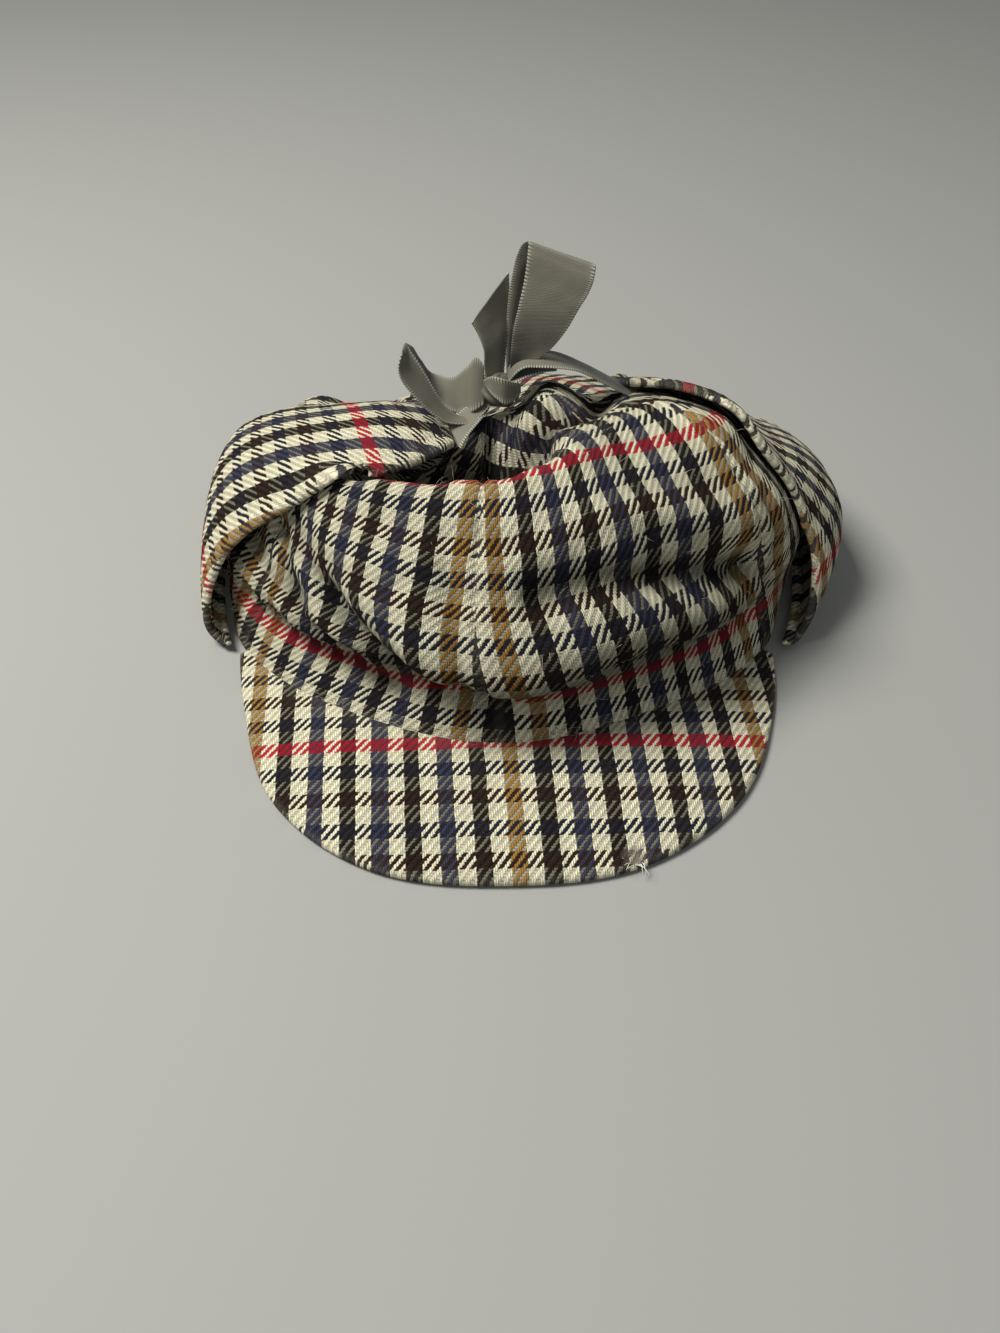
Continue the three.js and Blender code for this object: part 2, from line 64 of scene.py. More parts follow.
# name, three points (azimuth, distance up the cloth), width, depth
FOLDS = [
    ("front_left_crease", -34, 44, -21, 33, -4, 15, 7, -5.5),
    ("front_left_roll", -24, 50, -12, 38, 2, 30, 11, 3),
    ("right_diagonal_crease", 8, 58, 24, 57, 50, 44, 7, -5.5),
    ("right_belly", 28, 72, 45, 66, 58, 54, 12, 4),
    ("right_under_roll", 14, 42, 28, 42, 40, 36, 9, 2.5),
    ("ridge_lip", -24, 95, 6, 97, 30, 96, 6, 2.5),
    ("hollow_wall", -38, 107, -14, 109, 12, 110, 9, -6),
    ("hollow_groove", 29, 124, 48, 128, 74, 127, 5, -4),
    ("rolled_fold", 87, 139.5, 44, 137, 35, 126, 7, 6),
    ("back_crease", 130, 46, 175, 52, 225, 44, 7, -3),
    ("back_roll", 135, 62, 180, 66, 220, 60, 10, 1.5),
    ("left_crease", -75, 50, -62, 40, -44, 40, 6, -2.5)]
# small creases that only the looks have
WRINKLES = [
    ("seam_pucker_a", -12, 62, -5, 60, 2, 62, 3.5, -0.9),
    ("seam_pucker_b", -10, 74, -4, 76, 4, 73, 3.5, -0.8),
    ("seam_pucker_c", 6, 46, 12, 47, 19, 45, 3, -0.9),
    ("front_fine_a", -44, 62, -30, 56, -16, 60, 3.5, -0.9),
    ("front_fine_b", -40, 28, -26, 24, -12, 13, 3.5, -1.0),
    ("right_fine_a", 18, 70, 30, 66, 44, 58, 3.5, -1.0),
    ("right_fine_b", 26, 80, 38, 77, 50, 72, 4, -0.9),
    ("right_fine_c", 14, 32, 26, 30, 40, 26, 3.5, -0.9),
    ("right_fine_d", 52, 40, 58, 30, 60, 20, 3, -1.0),
    ("left_fine_a", -58, 50, -48, 52, -38, 48, 3, -0.9),
    ("left_fine_b", -66, 32, -56, 30, -46, 26, 3, -1.0),
    ("left_rim_crease", -62, 21, -44, 19, -22, 12, 4.5, -3.0),
    ("left_radial_a", -56, 52, -44, 38, -30, 22, 4.0, -2.4),
    ("left_radial_b", -50, 60, -36, 48, -24, 36, 4.0, -2.0),
    ("seam_pull", -9, 66, -7, 40, -5, 22, 3.5, -2.0),
    ("seam_blow", -14, 40, -12, 30, -9, 22, 4.5, 1.6),
    ("right_lower_valley", 20, 26, 36, 24, 54, 18, 4.5, -2.2),
    ("right_step", 56, 60, 58, 44, 57, 28, 4.0, -1.8),
    ("ridge_hump_a", -6, 92, -2, 99, 2, 104, 3, 1.2),
    ("ridge_hump_b", 10, 92, 14, 99, 16, 104, 3, 1.0),
    ("ridge_hump_c", 22, 94, 25, 100, 26, 105, 3, 1.0),
    ("back_fine_a", 150, 30, 180, 28, 210, 32, 4, -1.0),
    ("back_fine_b", 110, 40, 125, 50, 140, 44, 4, -1.0),
    ("back_fine_c", 215, 50, 232, 58, 250, 50, 4, -1.0)]
PEAK = np.array([[-60, 96.8], [-45, 110], [-30, 129], [-15, 138.6], [0, 138.6], [15, 137.4],
                 [30, 128.2], [45, 111.3], [60, 96.3]], float)
REAR_PEAK = np.array([[-60, 96.8], [-45, 100.5], [-30, 105], [-15, 111.5], [0, 114.5], [15, 111.5],
                      [30, 105], [45, 100.5], [60, 96.8]], float)
PEAK_EDGE_Z, PEAK_HALF_ANGLE, PEAK_GAP, PEAK_WALL = 3.0, 58, 0.8, 2.8
RIM_RISE, RIM_FLAT, RIM_BACK = 10.7, 0.72, 0.6
CROWN_WALL, FLAP_WALL, FLAP_CLEAR, FLAP_LENGTH = 2.0, 2.5, 1.6, 146.0
MOTH = (33.6, -130.6, 2.2)
FLAP_LEFT = np.array([
    # distance along the cloth, front edge, middle, back edge
    [0, -85.5, -49, 3.2, -94.6, 0, 3.2, -85.5, 49, 3.2],
    [6, -89.5, -48, 1.4, -97, 0, 1.4, -89.5, 48, 1.4],
    [14, -94, -46, 5, -100, 0, 6, -94, 46, 5],
    [24, -94.5, -45, 13, -99.5, 0, 16, -93, 44, 13],
    [40, -90, -42.5, 26, -96, -2, 33, -90, 38, 24],
    [58, -81, -42.5, 39, -87, -6, 49, -84, 28, 33],
    [80, -62.5, -46, 54, -71, -12, 61, -72, 18, 44],
    [104, -41, -47.5, 64, -50, -18, 68, -56, 8, 52],
    [126, -24.5, -41, 66.5, -33, -19, 70, -41, -2, 60],
    [146, -14.5, -31.5, 66, -19, -20, 69, -25, -12, 67]], float)
FLAP_RIGHT = np.array([
    [0, 85.5, -49, 3.2, 96.2, 0, 3.2, 85.5, 49, 3.2],
    [6, 90.5, -47.5, 1.4, 100.6, 0, 1.4, 90.5, 48, 1.4],
    [14, 94, -45.5, 5, 105, 0, 6, 95, 46, 5],
    [24, 95, -45, 13, 109, -4, 15, 97, 44, 13],
    [40, 95, -36, 27, 108, -6, 30, 97, 40, 25],
    [58, 88, -30, 42, 97, -5, 43, 91, 36, 32],
    [80, 73, -29, 57, 79, -3, 51, 78, 33, 36],
    [104, 54.5, -24, 69, 60, 2, 58, 67, 29, 42],
    [126, 42, -17, 73, 47, 5, 63, 54, 26, 48],
    [146, 30, -9, 75, 35, 4, 68, 40, 18, 57]], float)
# The two edges of each ribbon at each station.
RIBBONS = {
    "bow_loop_tall": [
        [-0.1, -15, 75.6, 2.6, -15, 75.6],
        [-0.4, -12, 81.7, 6.6, -14, 80.9],
        [-0.4, -9, 89.2, 11, -14, 87.8],
        [0.2, -7, 97.4, 16.9, -14.5, 96.7],
        [1.4, -7, 106, 21.2, -15.5, 105.1],
        [2.6, -8, 111.6, 22.7, -17, 110.7],
        [4.1, -10, 115.6, 23.2, -18.5, 113.5],
        [5.4, -12, 117.2, 23.4, -20, 113.7],
        [5.4, -13, 115, 23.1, -21, 111.4],
        [4.5, -14, 106.7, 21.6, -21.5, 106.6],
        [2.9, -15, 99, 19.4, -21, 102],
        [1.6, -15.5, 93, 16.2, -20, 95],
        [1, -16, 87.1, 12.3, -18.5, 88.7],
        [0.8, -17, 81.9, 6.5, -18, 83.1],
        [0.5, -17.5, 76.8, 2.8, -17.5, 76.8]],
    "bow_tail": [
        [-5.6, -17, 75.5, -1.5, -15, 74.3],
        [-6.7, -15.5, 81.1, -0.6, -12, 81.1],
        [-6.8, -14.5, 85.9, 0.2, -9, 89.5],
        [-8.3, -13.5, 90.1, 0.6, -6, 97.2],
        [-10.3, -13, 93.8, 0.3, -5, 105.4]],
    "bow_loop_left": [
        [-5, -20, 71.3, -5.9, -18, 73.4],
        [-10.5, -23.5, 67.8, -9.7, -20, 69.3],
        [-16.3, -25.5, 68.6, -13.8, -21, 68.6],
        [-20.5, -26.5, 71.7, -17.5, -21, 71.3],
        [-24.6, -26.5, 75.8, -20.3, -20, 75.3],
        [-28.1, -25.5, 79.8, -23.1, -18, 79.9],
        [-30.2, -24.5, 83, -25.6, -16, 83.3],
        [-30.7, -23, 85.6, -27.9, -14, 86],
        [-29.7, -20.5, 88.6, -29.2, -12, 86.9],
        [-28.7, -16, 84.9, -27.6, -9, 84.5],
        [-26.9, -13, 78.4, -25.5, -5, 77.8],
        [-23.8, -11, 71, -22.8, -3.5, 73],
        [-19.7, -12, 67.2, -19.5, -5, 72.7],
        [-15.8, -15, 66.3, -15.8, -8, 74.1],
        [-12.1, -18.5, 68.4, -11.7, -11, 79.2],
        [-9.1, -21, 70.6, -8.4, -13.5, 83.2],
        [-6.5, -20.5, 72.3, -6.7, -15, 81.5]],
    "tie_left": [
        [-20.4, -25, 66.4, -13.3, -32, 64.5],
        [-17.9, -22.5, 67.2, -11.6, -29, 66.3],
        [-15.3, -20.5, 68.3, -9.6, -26, 67.4],
        [-12.7, -18.5, 69.4, -7.6, -23, 68.5],
        [-10.3, -17, 70.2, -5.9, -20.5, 69.3],
        [-8.6, -15.5, 70.6, -5, -18, 69.8]],
    "tie_right": [
        [0.5, -20, 78.9, 0.2, -15, 80.2],
        [2.4, -21.5, 82.6, 1.9, -15, 83],
        [4.7, -22, 84.8, 4.2, -14, 84.1],
        [8.3, -22, 85.1, 8.3, -12.5, 85],
        [13.1, -22, 84.8, 13.2, -12, 84.7],
        [20.3, -21, 83.3, 23, -10.5, 79.6],
        [29.9, -19, 77, 32.3, -9, 73.8],
        [37.2, -16, 71.6, 39.5, -6, 68.7]],
    "bow_tail_right": [
        [0.5, -21.5, 79.1, 0.5, -14, 78.3],
        [2.7, -22.5, 80.6, 2.8, -12.5, 80],
        [5.8, -22, 82.1, 6.1, -10.5, 81.2],
        [9.5, -21, 82.9, 9.9, -8.5, 81],
        [14.1, -19.5, 82.7, 14.4, -7, 79.9]],
    "knot_band": [
        [-6.5, -14, 76, -5.3, -16, 75.5],
        [-6.1, -20, 80.1, -5, -22.5, 77.7],
        [-4.1, -24, 83.2, -3.2, -26, 77.4],
        [-1.3, -25.5, 83.3, -1, -27, 76.2],
        [1.3, -24.5, 81.9, 1.3, -25.5, 76],
        [3, -21, 79.3, 3.1, -22, 76.1],
        [3.7, -15, 75.3, 3.7, -16, 73.9]],
}
KNOT = (-2.0, -17.5, 75.0)
# azimuth of the three front seams at each level, and half a panel's width in checks
SEAM_V = [0, 16, 32, 50, 70, 92, 126, 160]
SEAM_AZ = {-60: [-60, -58, -55, -58, -60, -60, -60, -60], 0: [-1.6, -1.7, -3.4, -3.4, -2.1, -0.5, 0, 0],
           60: [60, 59, 56, 54, 54, 54.5, 57, 60]}
HALF_V, HALF_W = [0, 92, 128, 160], [5.25, 4.3, 2.6, 0.05]
CHECK = 9.4      # one check of the cloth
ENDS, PICKS = 14.8, 12.2   # threads of warp and of weft to a check

lo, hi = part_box("bow_knot")
SHIFT = np.array([(lo.x + hi.x) * 500 - KNOT[0], (lo.y + hi.y) * 500 - KNOT[1], (lo.z + hi.z) * 500 - KNOT[2]])


def put(p):
    return (np.asarray(p, float) + SHIFT) / 1000.0


# ---------------------------------------------------------------- interpolation
def hermite(knots, vals, x):
    knots = np.asarray(knots, float)
    vals = np.asarray(vals, float)
    x = np.asarray(x, float)
    n = len(knots)
    h = np.diff(knots)
    d = (vals[..., 1:] - vals[..., :-1]) / h
    m = np.empty_like(vals)
    m[..., 1:-1] = (d[..., :-1] * h[1:] + d[..., 1:] * h[:-1]) / (h[1:] + h[:-1])
    m[..., 0] = 1.5 * d[..., 0] - 0.5 * m[..., 1]
    m[..., -1] = 1.5 * d[..., -1] - 0.5 * m[..., -2]
    i = np.clip(np.searchsorted(knots, x, side="right") - 1, 0, n - 2)
    hh = h[i]
    t = (x - knots[i]) / hh

    def pick(a, j):
        return np.take_along_axis(np.broadcast_to(a, x.shape + (a.shape[-1],)), j[..., None], -1)[..., 0]

    v0, v1, m0, m1 = pick(vals, i), pick(vals, i + 1), pick(m, i) * hh, pick(m, i + 1) * hh
    return ((2 * t**3 - 3 * t**2 + 1) * v0 + (t**3 - 2 * t**2 + t) * m0
            + (-2 * t**3 + 3 * t**2) * v1 + (t**3 - t**2) * m1)


def periodic(vals, az):
    vals = np.asarray(vals, float)
    n = len(vals)
    q = (np.asarray(az, float) % 360) / (360 / n)
    i = np.floor(q).astype(int)
    t = q - i
    if vals.ndim == 2:
        t = t[..., None]
    a, b, c, d = vals[(i - 1) % n], vals[i % n], vals[(i + 1) % n], vals[(i + 2) % n]
    return b + 0.5 * t * (c - a + t * (2 * a - 5 * b + 4 * c - d + t * (3 * (b - c) + d - a)))


def unit(n):
    return n / np.maximum(np.linalg.norm(n, axis=-1, keepdims=True), 1e-9)


# ---------------------------------------------------------------- crown
def rim_z(az):
    c = np.cos(np.radians(az))
    return np.maximum(0, (RIM_RISE * c * c - RIM_FLAT) * np.where(c < 0, RIM_BACK, 1.0))


LV = np.array([r[1] for r in LEVELS], float)
LCX = np.array([r[2] for r in LEVELS], float)
LCY = np.array([r[3] for r in LEVELS], float)
V_TOP = LV[-1]


def crown_base(az, v):
    az = np.asarray(az, float)
    v = np.asarray(v, float)
    az, v = np.broadcast_arrays(az, v)
    a = np.radians(az)
    row = periodic(CROWN[:, 1:], az)
    r = np.concatenate([row[..., :1], row[..., 1::2], 0 * row[..., :1]], -1)
    z = np.concatenate([rim_z(az)[..., None], row[..., 2::2], 0 * row[..., :1] + APEX_Z], -1)
    x = LCX + r * np.sin(a)[..., None]
    y = LCY - r * np.cos(a)[..., None]
    return np.stack([hermite(LV, x, v), hermite(LV, y, v), hermite(LV, z, v)], -1)


def normal_of(f, a, b, ea, eb, lo_b, hi_b):
    n = np.cross(f(a + ea, b) - f(a - ea, b), f(a, np.minimum(b + eb, hi_b)) - f(a, np.maximum(b - eb, lo_b)))
    return unit(n)


def fold_line(row, n=14):
    s = np.linspace(0, 1, n)
    a1, v1, a2, v2, a3, v3 = row
    a = (1 - s) ** 2 * a1 + 2 * s * (1 - s) * (2 * a2 - 0.5 * a1 - 0.5 * a3) + s * s * a3
    b = (1 - s) ** 2 * v1 + 2 * s * (1 - s) * (2 * v2 - 0.5 * v1 - 0.5 * v3) + s * s * v3
    return crown_base(a, b)


def crown_line(row):
    """The line of a fold on the folded surface, as well as it can be found from the smooth one."""
    s = np.linspace(0, 1, 14)
    a1, v1, a2, v2, a3, v3 = row
    a = (1 - s) ** 2 * a1 + 2 * s * (1 - s) * (2 * a2 - 0.5 * a1 - 0.5 * a3) + s * s * a3
    b = (1 - s) ** 2 * v1 + 2 * s * (1 - s) * (2 * v2 - 0.5 * v1 - 0.5 * v3) + s * s * v3
    return crown(a, b)


def line_distance(p, line):
    sh = p.shape[:-1]
    p = p.reshape(-1, 3)
    best = np.full(len(p), 1e9)
    for i in range(len(line) - 1):
        d = line[i + 1] - line[i]
        t = np.clip(((p - line[i]) @ d) / (d @ d), 0, 1)
        best = np.minimum(best, np.linalg.norm(p - line[i] - t[:, None] * d, axis=1))
    return best.reshape(sh)


def crown(az, v, extra=True):
    p = crown_base(az, v)
    az, v = np.broadcast_arrays(np.asarray(az, float), np.asarray(v, float))
    n = normal_of(crown_base, az, np.minimum(v, V_TOP - 4), 2, 2, 0, V_TOP)
    d = 0
    for k, f in enumerate(FOLDS + (WRINKLES if extra else [])):
        d = d + f[8] * (1.3 if k < len(FOLDS) and f[8] < 0 else 1.0) * np.exp(-((line_distance(p, fold_line(f[1:7])) / f[7]) ** 2))
    fade = np.clip(v / 10, 0, 1) * np.clip((V_TOP - v) / 12, 0, 1)
    return p + n * (d * fade)[..., None]


def seam_az(k, v):
    k = (k + 180) % 360 - 180
    if k in SEAM_AZ:
        return hermite(np.array(SEAM_V, float), np.broadcast_to(np.array(SEAM_AZ[k], float), np.shape(v) + (8,)), v)
    return k + 0 * np.asarray(v, float)


# ---------------------------------------------------------------- smooth noise, the same at every run
def lattice_noise(p, scale, seed):
    """Smooth noise from -1 to 1 at points p (n,3), with features about scale mm across."""
    q = p / scale
    i = np.floor(q).astype(np.int64)
    f = q - i
    f = f * f * (3 - 2 * f)
    out = np.zeros(p.shape[:-1])
    for dx in (0, 1):
        for dy in (0, 1):
            for dz in (0, 1):
                h = ((i[..., 0] + dx) * 73856093) ^ ((i[..., 1] + dy) * 19349663) ^ ((i[..., 2] + dz) * 83492791) ^ (seed * 2654435761)
                h = (h ^ (h >> 13)) * 1274126177
                r = ((h ^ (h >> 16)) & 0xFFFF) / 32767.5 - 1
                out += r * (f[..., 0] if dx else 1 - f[..., 0]) * (f[..., 1] if dy else 1 - f[..., 1]) * (f[..., 2] if dz else 1 - f[..., 2])
    return out


# ---------------------------------------------------------------- mesh helpers
def build(name, verts, faces, loop_uv, material, attributes=None, weld=False):
    """verts in hat millimetres; faces a list of index tuples; loop_uv one (u, v) for each corner in order."""
    me = bpy.data.meshes.new(name)
    me.from_pydata(put(verts).tolist(), [], faces)
    uv = me.uv_layers.new(name="cloth")
    uv.data.foreach_set("uv", np.asarray(loop_uv, np.float32).ravel())
    for key, vals in (attributes or {}).items():
        at = me.attributes.new(key, "FLOAT", "POINT")
        at.data.foreach_set("value", np.asarray(vals, np.float32).ravel())
    if weld:
        bm = bmesh.new()
        bm.from_mesh(me)
        bmesh.ops.remove_doubles(bm, verts=bm.verts, dist=2e-6)
        bm.to_mesh(me)
        bm.free()
    me.polygons.foreach_set("use_smooth", np.ones(len(me.polygons), bool))
    me.materials.append(material)
    me.update()
    o = bpy.data.objects.new(name, me)
    bpy.context.scene.collection.objects.link(o)
    return o


def quads(ni, nj, base=0, flip=False, wrap=False):
    i = np.arange(ni if wrap else ni - 1)
    j = np.arange(nj - 1)
    I, J = np.meshgrid(i, j, indexing="ij")
    I2 = (I + 1) % ni
    a, b, c, d = I * nj + J, I2 * nj + J, I2 * nj + J + 1, I * nj + J + 1
    f = np.stack([a, b, c, d], -1).reshape(-1, 4) + base
    return f[:, ::-1] if flip else f


def grid_normals(p, wrap=False):
    if wrap:
        du = np.roll(p, -1, 0) - np.roll(p, 1, 0)
    else:
        du = np.gradient(p, axis=0)
    dv = np.gradient(p, axis=1)
    return unit(np.cross(du, dv))


def pillow(name, p, uv, wall, dist, round_at, material, attributes=None, n=None, weld_wall=None):
    """A closed wall with rounded edges. p (ni, nj, 3) seen from outside with i to the right and j up."""
    ni, nj = p.shape[:2]
    n = grid_normals(p) if n is None else n
    c = np.sqrt(np.clip(1 - ((round_at - np.minimum(dist, round_at)) / round_at) ** 2, 0, 1))
    off = ((1 - c) * wall / 2)[..., None]
    outer = p - n * off
    inner = p - n * (wall - off)
    verts = np.concatenate([outer.reshape(-1, 3), inner.reshape(-1, 3)])
    fo, fi = quads(ni, nj), quads(ni, nj, ni * nj, flip=True)
    flat = uv.reshape(-1, 2)
    uvs = np.concatenate([flat[fo].reshape(-1, 2), flat[fi - ni * nj].reshape(-1, 2)])
    at = {k: np.concatenate([v.ravel(), v.ravel()]) for k, v in (attributes or {}).items()}
    return build(name, verts, np.concatenate([fo, fi]).tolist(), uvs, material, at, weld=True)


# ---------------------------------------------------------------- node materials
class Graph:
    def __init__(self, name):
        self.mat = bpy.data.materials.new(name)
        self.mat.use_nodes = True
        self.t = self.mat.node_tree
        self.t.nodes.clear()
        self.out = self.t.nodes.new("ShaderNodeOutputMaterial")
        self.bsdf = self.t.nodes.new("ShaderNodeBsdfPrincipled")
        self.t.links.new(self.bsdf.outputs[0], self.out.inputs[0])

    def link(self, a, b):
        if isinstance(a, (int, float)):
            b.default_value = a
        else:
            self.t.links.new(a, b)

    def m(self, op, *args, clamp=False):
        n = self.t.nodes.new("ShaderNodeMath")
        n.operation = op
        n.use_clamp = clamp
        for i, a in enumerate(args):
            self.link(a, n.inputs[i])
        return n.outputs[0]

    def mix(self, f, a, b, mode="MIX"):
        n = self.t.nodes.new("ShaderNodeMix")
        n.data_type = "RGBA"
        n.blend_type = mode
        self.link(f, n.inputs[0])
        for s, v in ((n.inputs[6], a), (n.inputs[7], b)):
            if isinstance(v, (tuple, list)):
                s.default_value = (*v[:3], 1)
            else:
                self.t.links.new(v, s)
        return n.outputs[2]

    def lerp(self, f, a, b):
        n = self.t.nodes.new("ShaderNodeMix")
        n.data_type = "FLOAT"
        self.link(f, n.inputs[0])
        self.link(a, n.inputs[2])
        self.link(b, n.inputs[3])
        return n.outputs[0]

    def vec(self, x, y, z=0.0):
        n = self.t.nodes.new("ShaderNodeCombineXYZ")
        for s, v in zip(n.inputs, (x, y, z)):
            self.link(v, s)
        return n.outputs[0]

    def noise(self, vec, scale, detail=2.0, rough=0.5, dims="3D"):
        n = self.t.nodes.new("ShaderNodeTexNoise")
        n.noise_dimensions = dims
        self.t.links.new(vec, n.inputs["Vector"])
        n.inputs["Scale"].default_value = scale
        n.inputs["Detail"].default_value = detail
        n.inputs["Roughness"].default_value = rough
        return n.outputs["Fac"]

    def white(self, x, y=0.0):
        n = self.t.nodes.new("ShaderNodeTexWhiteNoise")
        n.noise_dimensions = "3D"
        self.t.links.new(self.vec(x, y, 3.7), n.inputs["Vector"])
        return n.outputs["Value"]

    def uv(self, name="cloth"):
        n = self.t.nodes.new("ShaderNodeUVMap")
        n.uv_map = name
        s = self.t.nodes.new("ShaderNodeSeparateXYZ")
        self.t.links.new(n.outputs[0], s.inputs[0])
        return n.outputs[0], s.outputs[0], s.outputs[1]

    def attr(self, name):
        n = self.t.nodes.new("ShaderNodeAttribute")
        n.attribute_name = name
        return n.outputs["Fac"]

    def obj(self):
        return self.t.nodes.new("ShaderNodeTexCoord").outputs["Object"]

    def bump(self, height, strength, distance):
        n = self.t.nodes.new("ShaderNodeBump")
        n.inputs["Strength"].default_value = strength
        n.inputs["Distance"].default_value = distance
        self.t.links.new(height, n.inputs["Height"])
        self.t.links.new(n.outputs[0], self.bsdf.inputs["Normal"])


CREAM, TAN, RED = (0.76, 0.72, 0.52), (0.31, 0.170, 0.042), (0.44, 0.018, 0.035)
WARP_NAVY, WARP_BROWN = (0.034, 0.036, 0.066), (0.011, 0.007, 0.005)
WEFT_NAVY, WEFT_BROWN = (0.015, 0.016, 0.030), (0.030, 0.014, 0.010)
FUZZ = (0.34, 0.32, 0.25)


def tweed(name="tweed_cloth", hole=False):
    g = Graph(name)
    vec, u, v = g.uv()
    # the yarns waver a little
    w1 = g.m("MULTIPLY", g.m("SUBTRACT", g.noise(vec, 0.11, 2.0), 0.5), 0.9)
    w2 = g.m("MULTIPLY", g.m("SUBTRACT", g.noise(g.vec(v, u, 7.3), 0.11, 2.0), 0.5), 0.9)
    w3 = g.m("MULTIPLY", g.m("SUBTRACT", g.noise(vec, 1.5, 2.0), 0.5), 0.6)
    w4 = g.m("MULTIPLY", g.m("SUBTRACT", g.noise(g.vec(v, u, 2.1), 1.5, 2.0), 0.5), 0.6)
    a = g.m("DIVIDE", g.m("ADD", g.m("ADD", u, w1), w3), CHECK / ENDS)
    b = g.m("DIVIDE", g.m("ADD", g.m("ADD", v, w2), w4), CHECK / PICKS)
    i, j = g.m("FLOOR", a), g.m("FLOOR", b)
    fa, fb = g.m("SUBTRACT", a, i), g.m("SUBTRACT", b, j)
    # colour of each warp end, the centre of a dark stripe at every whole check
    c = g.m("DIVIDE", g.m("ADD", i, 0.5), ENDS)
    n = g.m("FLOOR", g.m("ADD", c, 0.5))
    dark = g.m("LESS_THAN", g.m("ABSOLUTE", g.m("SUBTRACT", c, n)), 0.25)
    q = g.m("FLOORED_MODULO", n, 8.0)
    tan = g.m("MULTIPLY", dark, g.m("LESS_THAN", g.m("ABSOLUTE", g.m("SUBTRACT", q, 4.0)), 0.5))
    odd = g.m("GREATER_THAN", g.m("FLOORED_MODULO", q, 2.0), 0.5)
    warp_col = g.mix(dark, CREAM, g.mix(tan, g.mix(odd, WARP_NAVY, WARP_BROWN), TAN))
    # colour of each pick
    c2 = g.m("DIVIDE", g.m("ADD", j, 0.5), PICKS)
    n2 = g.m("FLOOR", g.m("ADD", c2, 0.5))
    dark2 = g.m("LESS_THAN", g.m("ABSOLUTE", g.m("SUBTRACT", c2, n2)), 0.25)
    q2 = g.m("FLOORED_MODULO", n2, 8.0)
    red = g.m("MULTIPLY", dark2, g.m("LESS_THAN", q2, 0.5))
    odd2 = g.m("GREATER_THAN", g.m("FLOORED_MODULO", q2, 2.0), 0.5)
    weft_col = g.mix(dark2, CREAM, g.mix(red, g.mix(odd2, WEFT_BROWN, WEFT_NAVY), RED))
    # the warp floats longer than the weft, so the columns stand out; red picks are a little fuller
    slope = g.m("SUBTRACT", g.m("ADD", g.m("ADD", i, 0.5), g.m("MULTIPLY", g.m("SUBTRACT", fa, 0.5), 0.6)), b)
    ragged = g.m("MULTIPLY", g.m("SUBTRACT", g.noise(vec, 2.6, 2.0), 0.5), 0.7)
    t = g.m("FLOORED_MODULO", g.m("ADD", slope, ragged), 4.0)
    share = g.m("SUBTRACT", 2.5, g.m("ADD", g.m("MULTIPLY", dark2, 0.5), g.m("MULTIPLY", red, 0.15)))
    warp = g.m("LESS_THAN", t, share)

    def dome(x):
        return g.m("POWER", g.m("MAXIMUM", g.m("SINE", g.m("MULTIPLY", x, math.pi)), 0.0), 0.6)
    along = dome(g.m("DIVIDE", t, share))
    h_warp = g.m("MULTIPLY", g.m("ADD", 0.35, g.m("MULTIPLY", dome(fa), 0.65)), g.m("ADD", 0.3, g.m("MULTIPLY", along, 0.7)))
    h_weft = g.m("SUBTRACT", g.m("MULTIPLY", dome(fb), 0.35), 0.25)
    height = g.lerp(warp, h_weft, h_warp)
    # a pick shows dimly between dark ends and more strongly between light ones: partly the dark warp's hair lying over
    # it, partly painted shade where it sinks below the warp
    weft_fuzz_and_shade = g.lerp(dark, 0.66, g.lerp(tan, 0.20, 0.42))
    weft_fuzz_and_shade = g.lerp(g.m("MULTIPLY", dark2, g.m("SUBTRACT", 1.0, red)), weft_fuzz_and_shade, 0.85)
    weft_fuzz_and_shade = g.lerp(red, weft_fuzz_and_shade, g.lerp(dark, 0.95, 0.55))
    # painted shade: each thread is drawn lighter along its crown and darker at its sides and ends, besides the bump
    weft_shade = g.m("MULTIPLY", weft_fuzz_and_shade, g.m("ADD", 0.55, g.m("MULTIPLY", dome(fb), 0.5)))
    warp_shade = g.m("ADD", 0.50, g.m("MULTIPLY", h_warp, 0.62))
    fine = g.noise(g.vec(g.m("MULTIPLY", u, 1.0), v, 0.0), 3.2, 3.0, 0.65)
    per = g.lerp(warp, g.white(j, 5.0), g.white(i, 1.0))
    shade = g.m("MULTIPLY", g.lerp(warp, weft_shade, warp_shade), g.m("MULTIPLY", g.m("ADD", 0.86, g.m("MULTIPLY", per, 0.2)), g.m("ADD", 0.62, g.m("MULTIPLY", fine, 0.72))))
    col = g.mix(1.0, g.mix(warp, weft_col, warp_col), g.vec(shade, shade, shade), "MULTIPLY")
    # in the dark columns a red pick colours the whole crossing
    col = g.mix(g.m("MULTIPLY", g.m("MULTIPLY", red, g.m("SUBTRACT", dark, tan)), 0.72), col, (0.20, 0.010, 0.020))
    # short grey hair over everything, thicker where the cloth is rubbed
    hair = g.m("MULTIPLY", g.m("SUBTRACT", g.noise(g.vec(g.m("MULTIPLY", u, 2.2), v, 1.3), 2.4, 4.0, 0.75), 0.50), 1.1, clamp=True)
    patch = g.m("MULTIPLY", g.m("SUBTRACT", g.noise(vec, 0.09, 3.0, 0.6), 0.40), 1.4, clamp=True)
    haze = g.m("MULTIPLY", hair, g.m("ADD", 0.35, patch))
    haze = g.m("ADD", haze, g.m("MULTIPLY", g.attr("worn"), g.m("MULTIPLY", g.m("SUBTRACT", fine, 0.25), 0.75)), clamp=True)
    col = g.mix(haze, col, FUZZ)
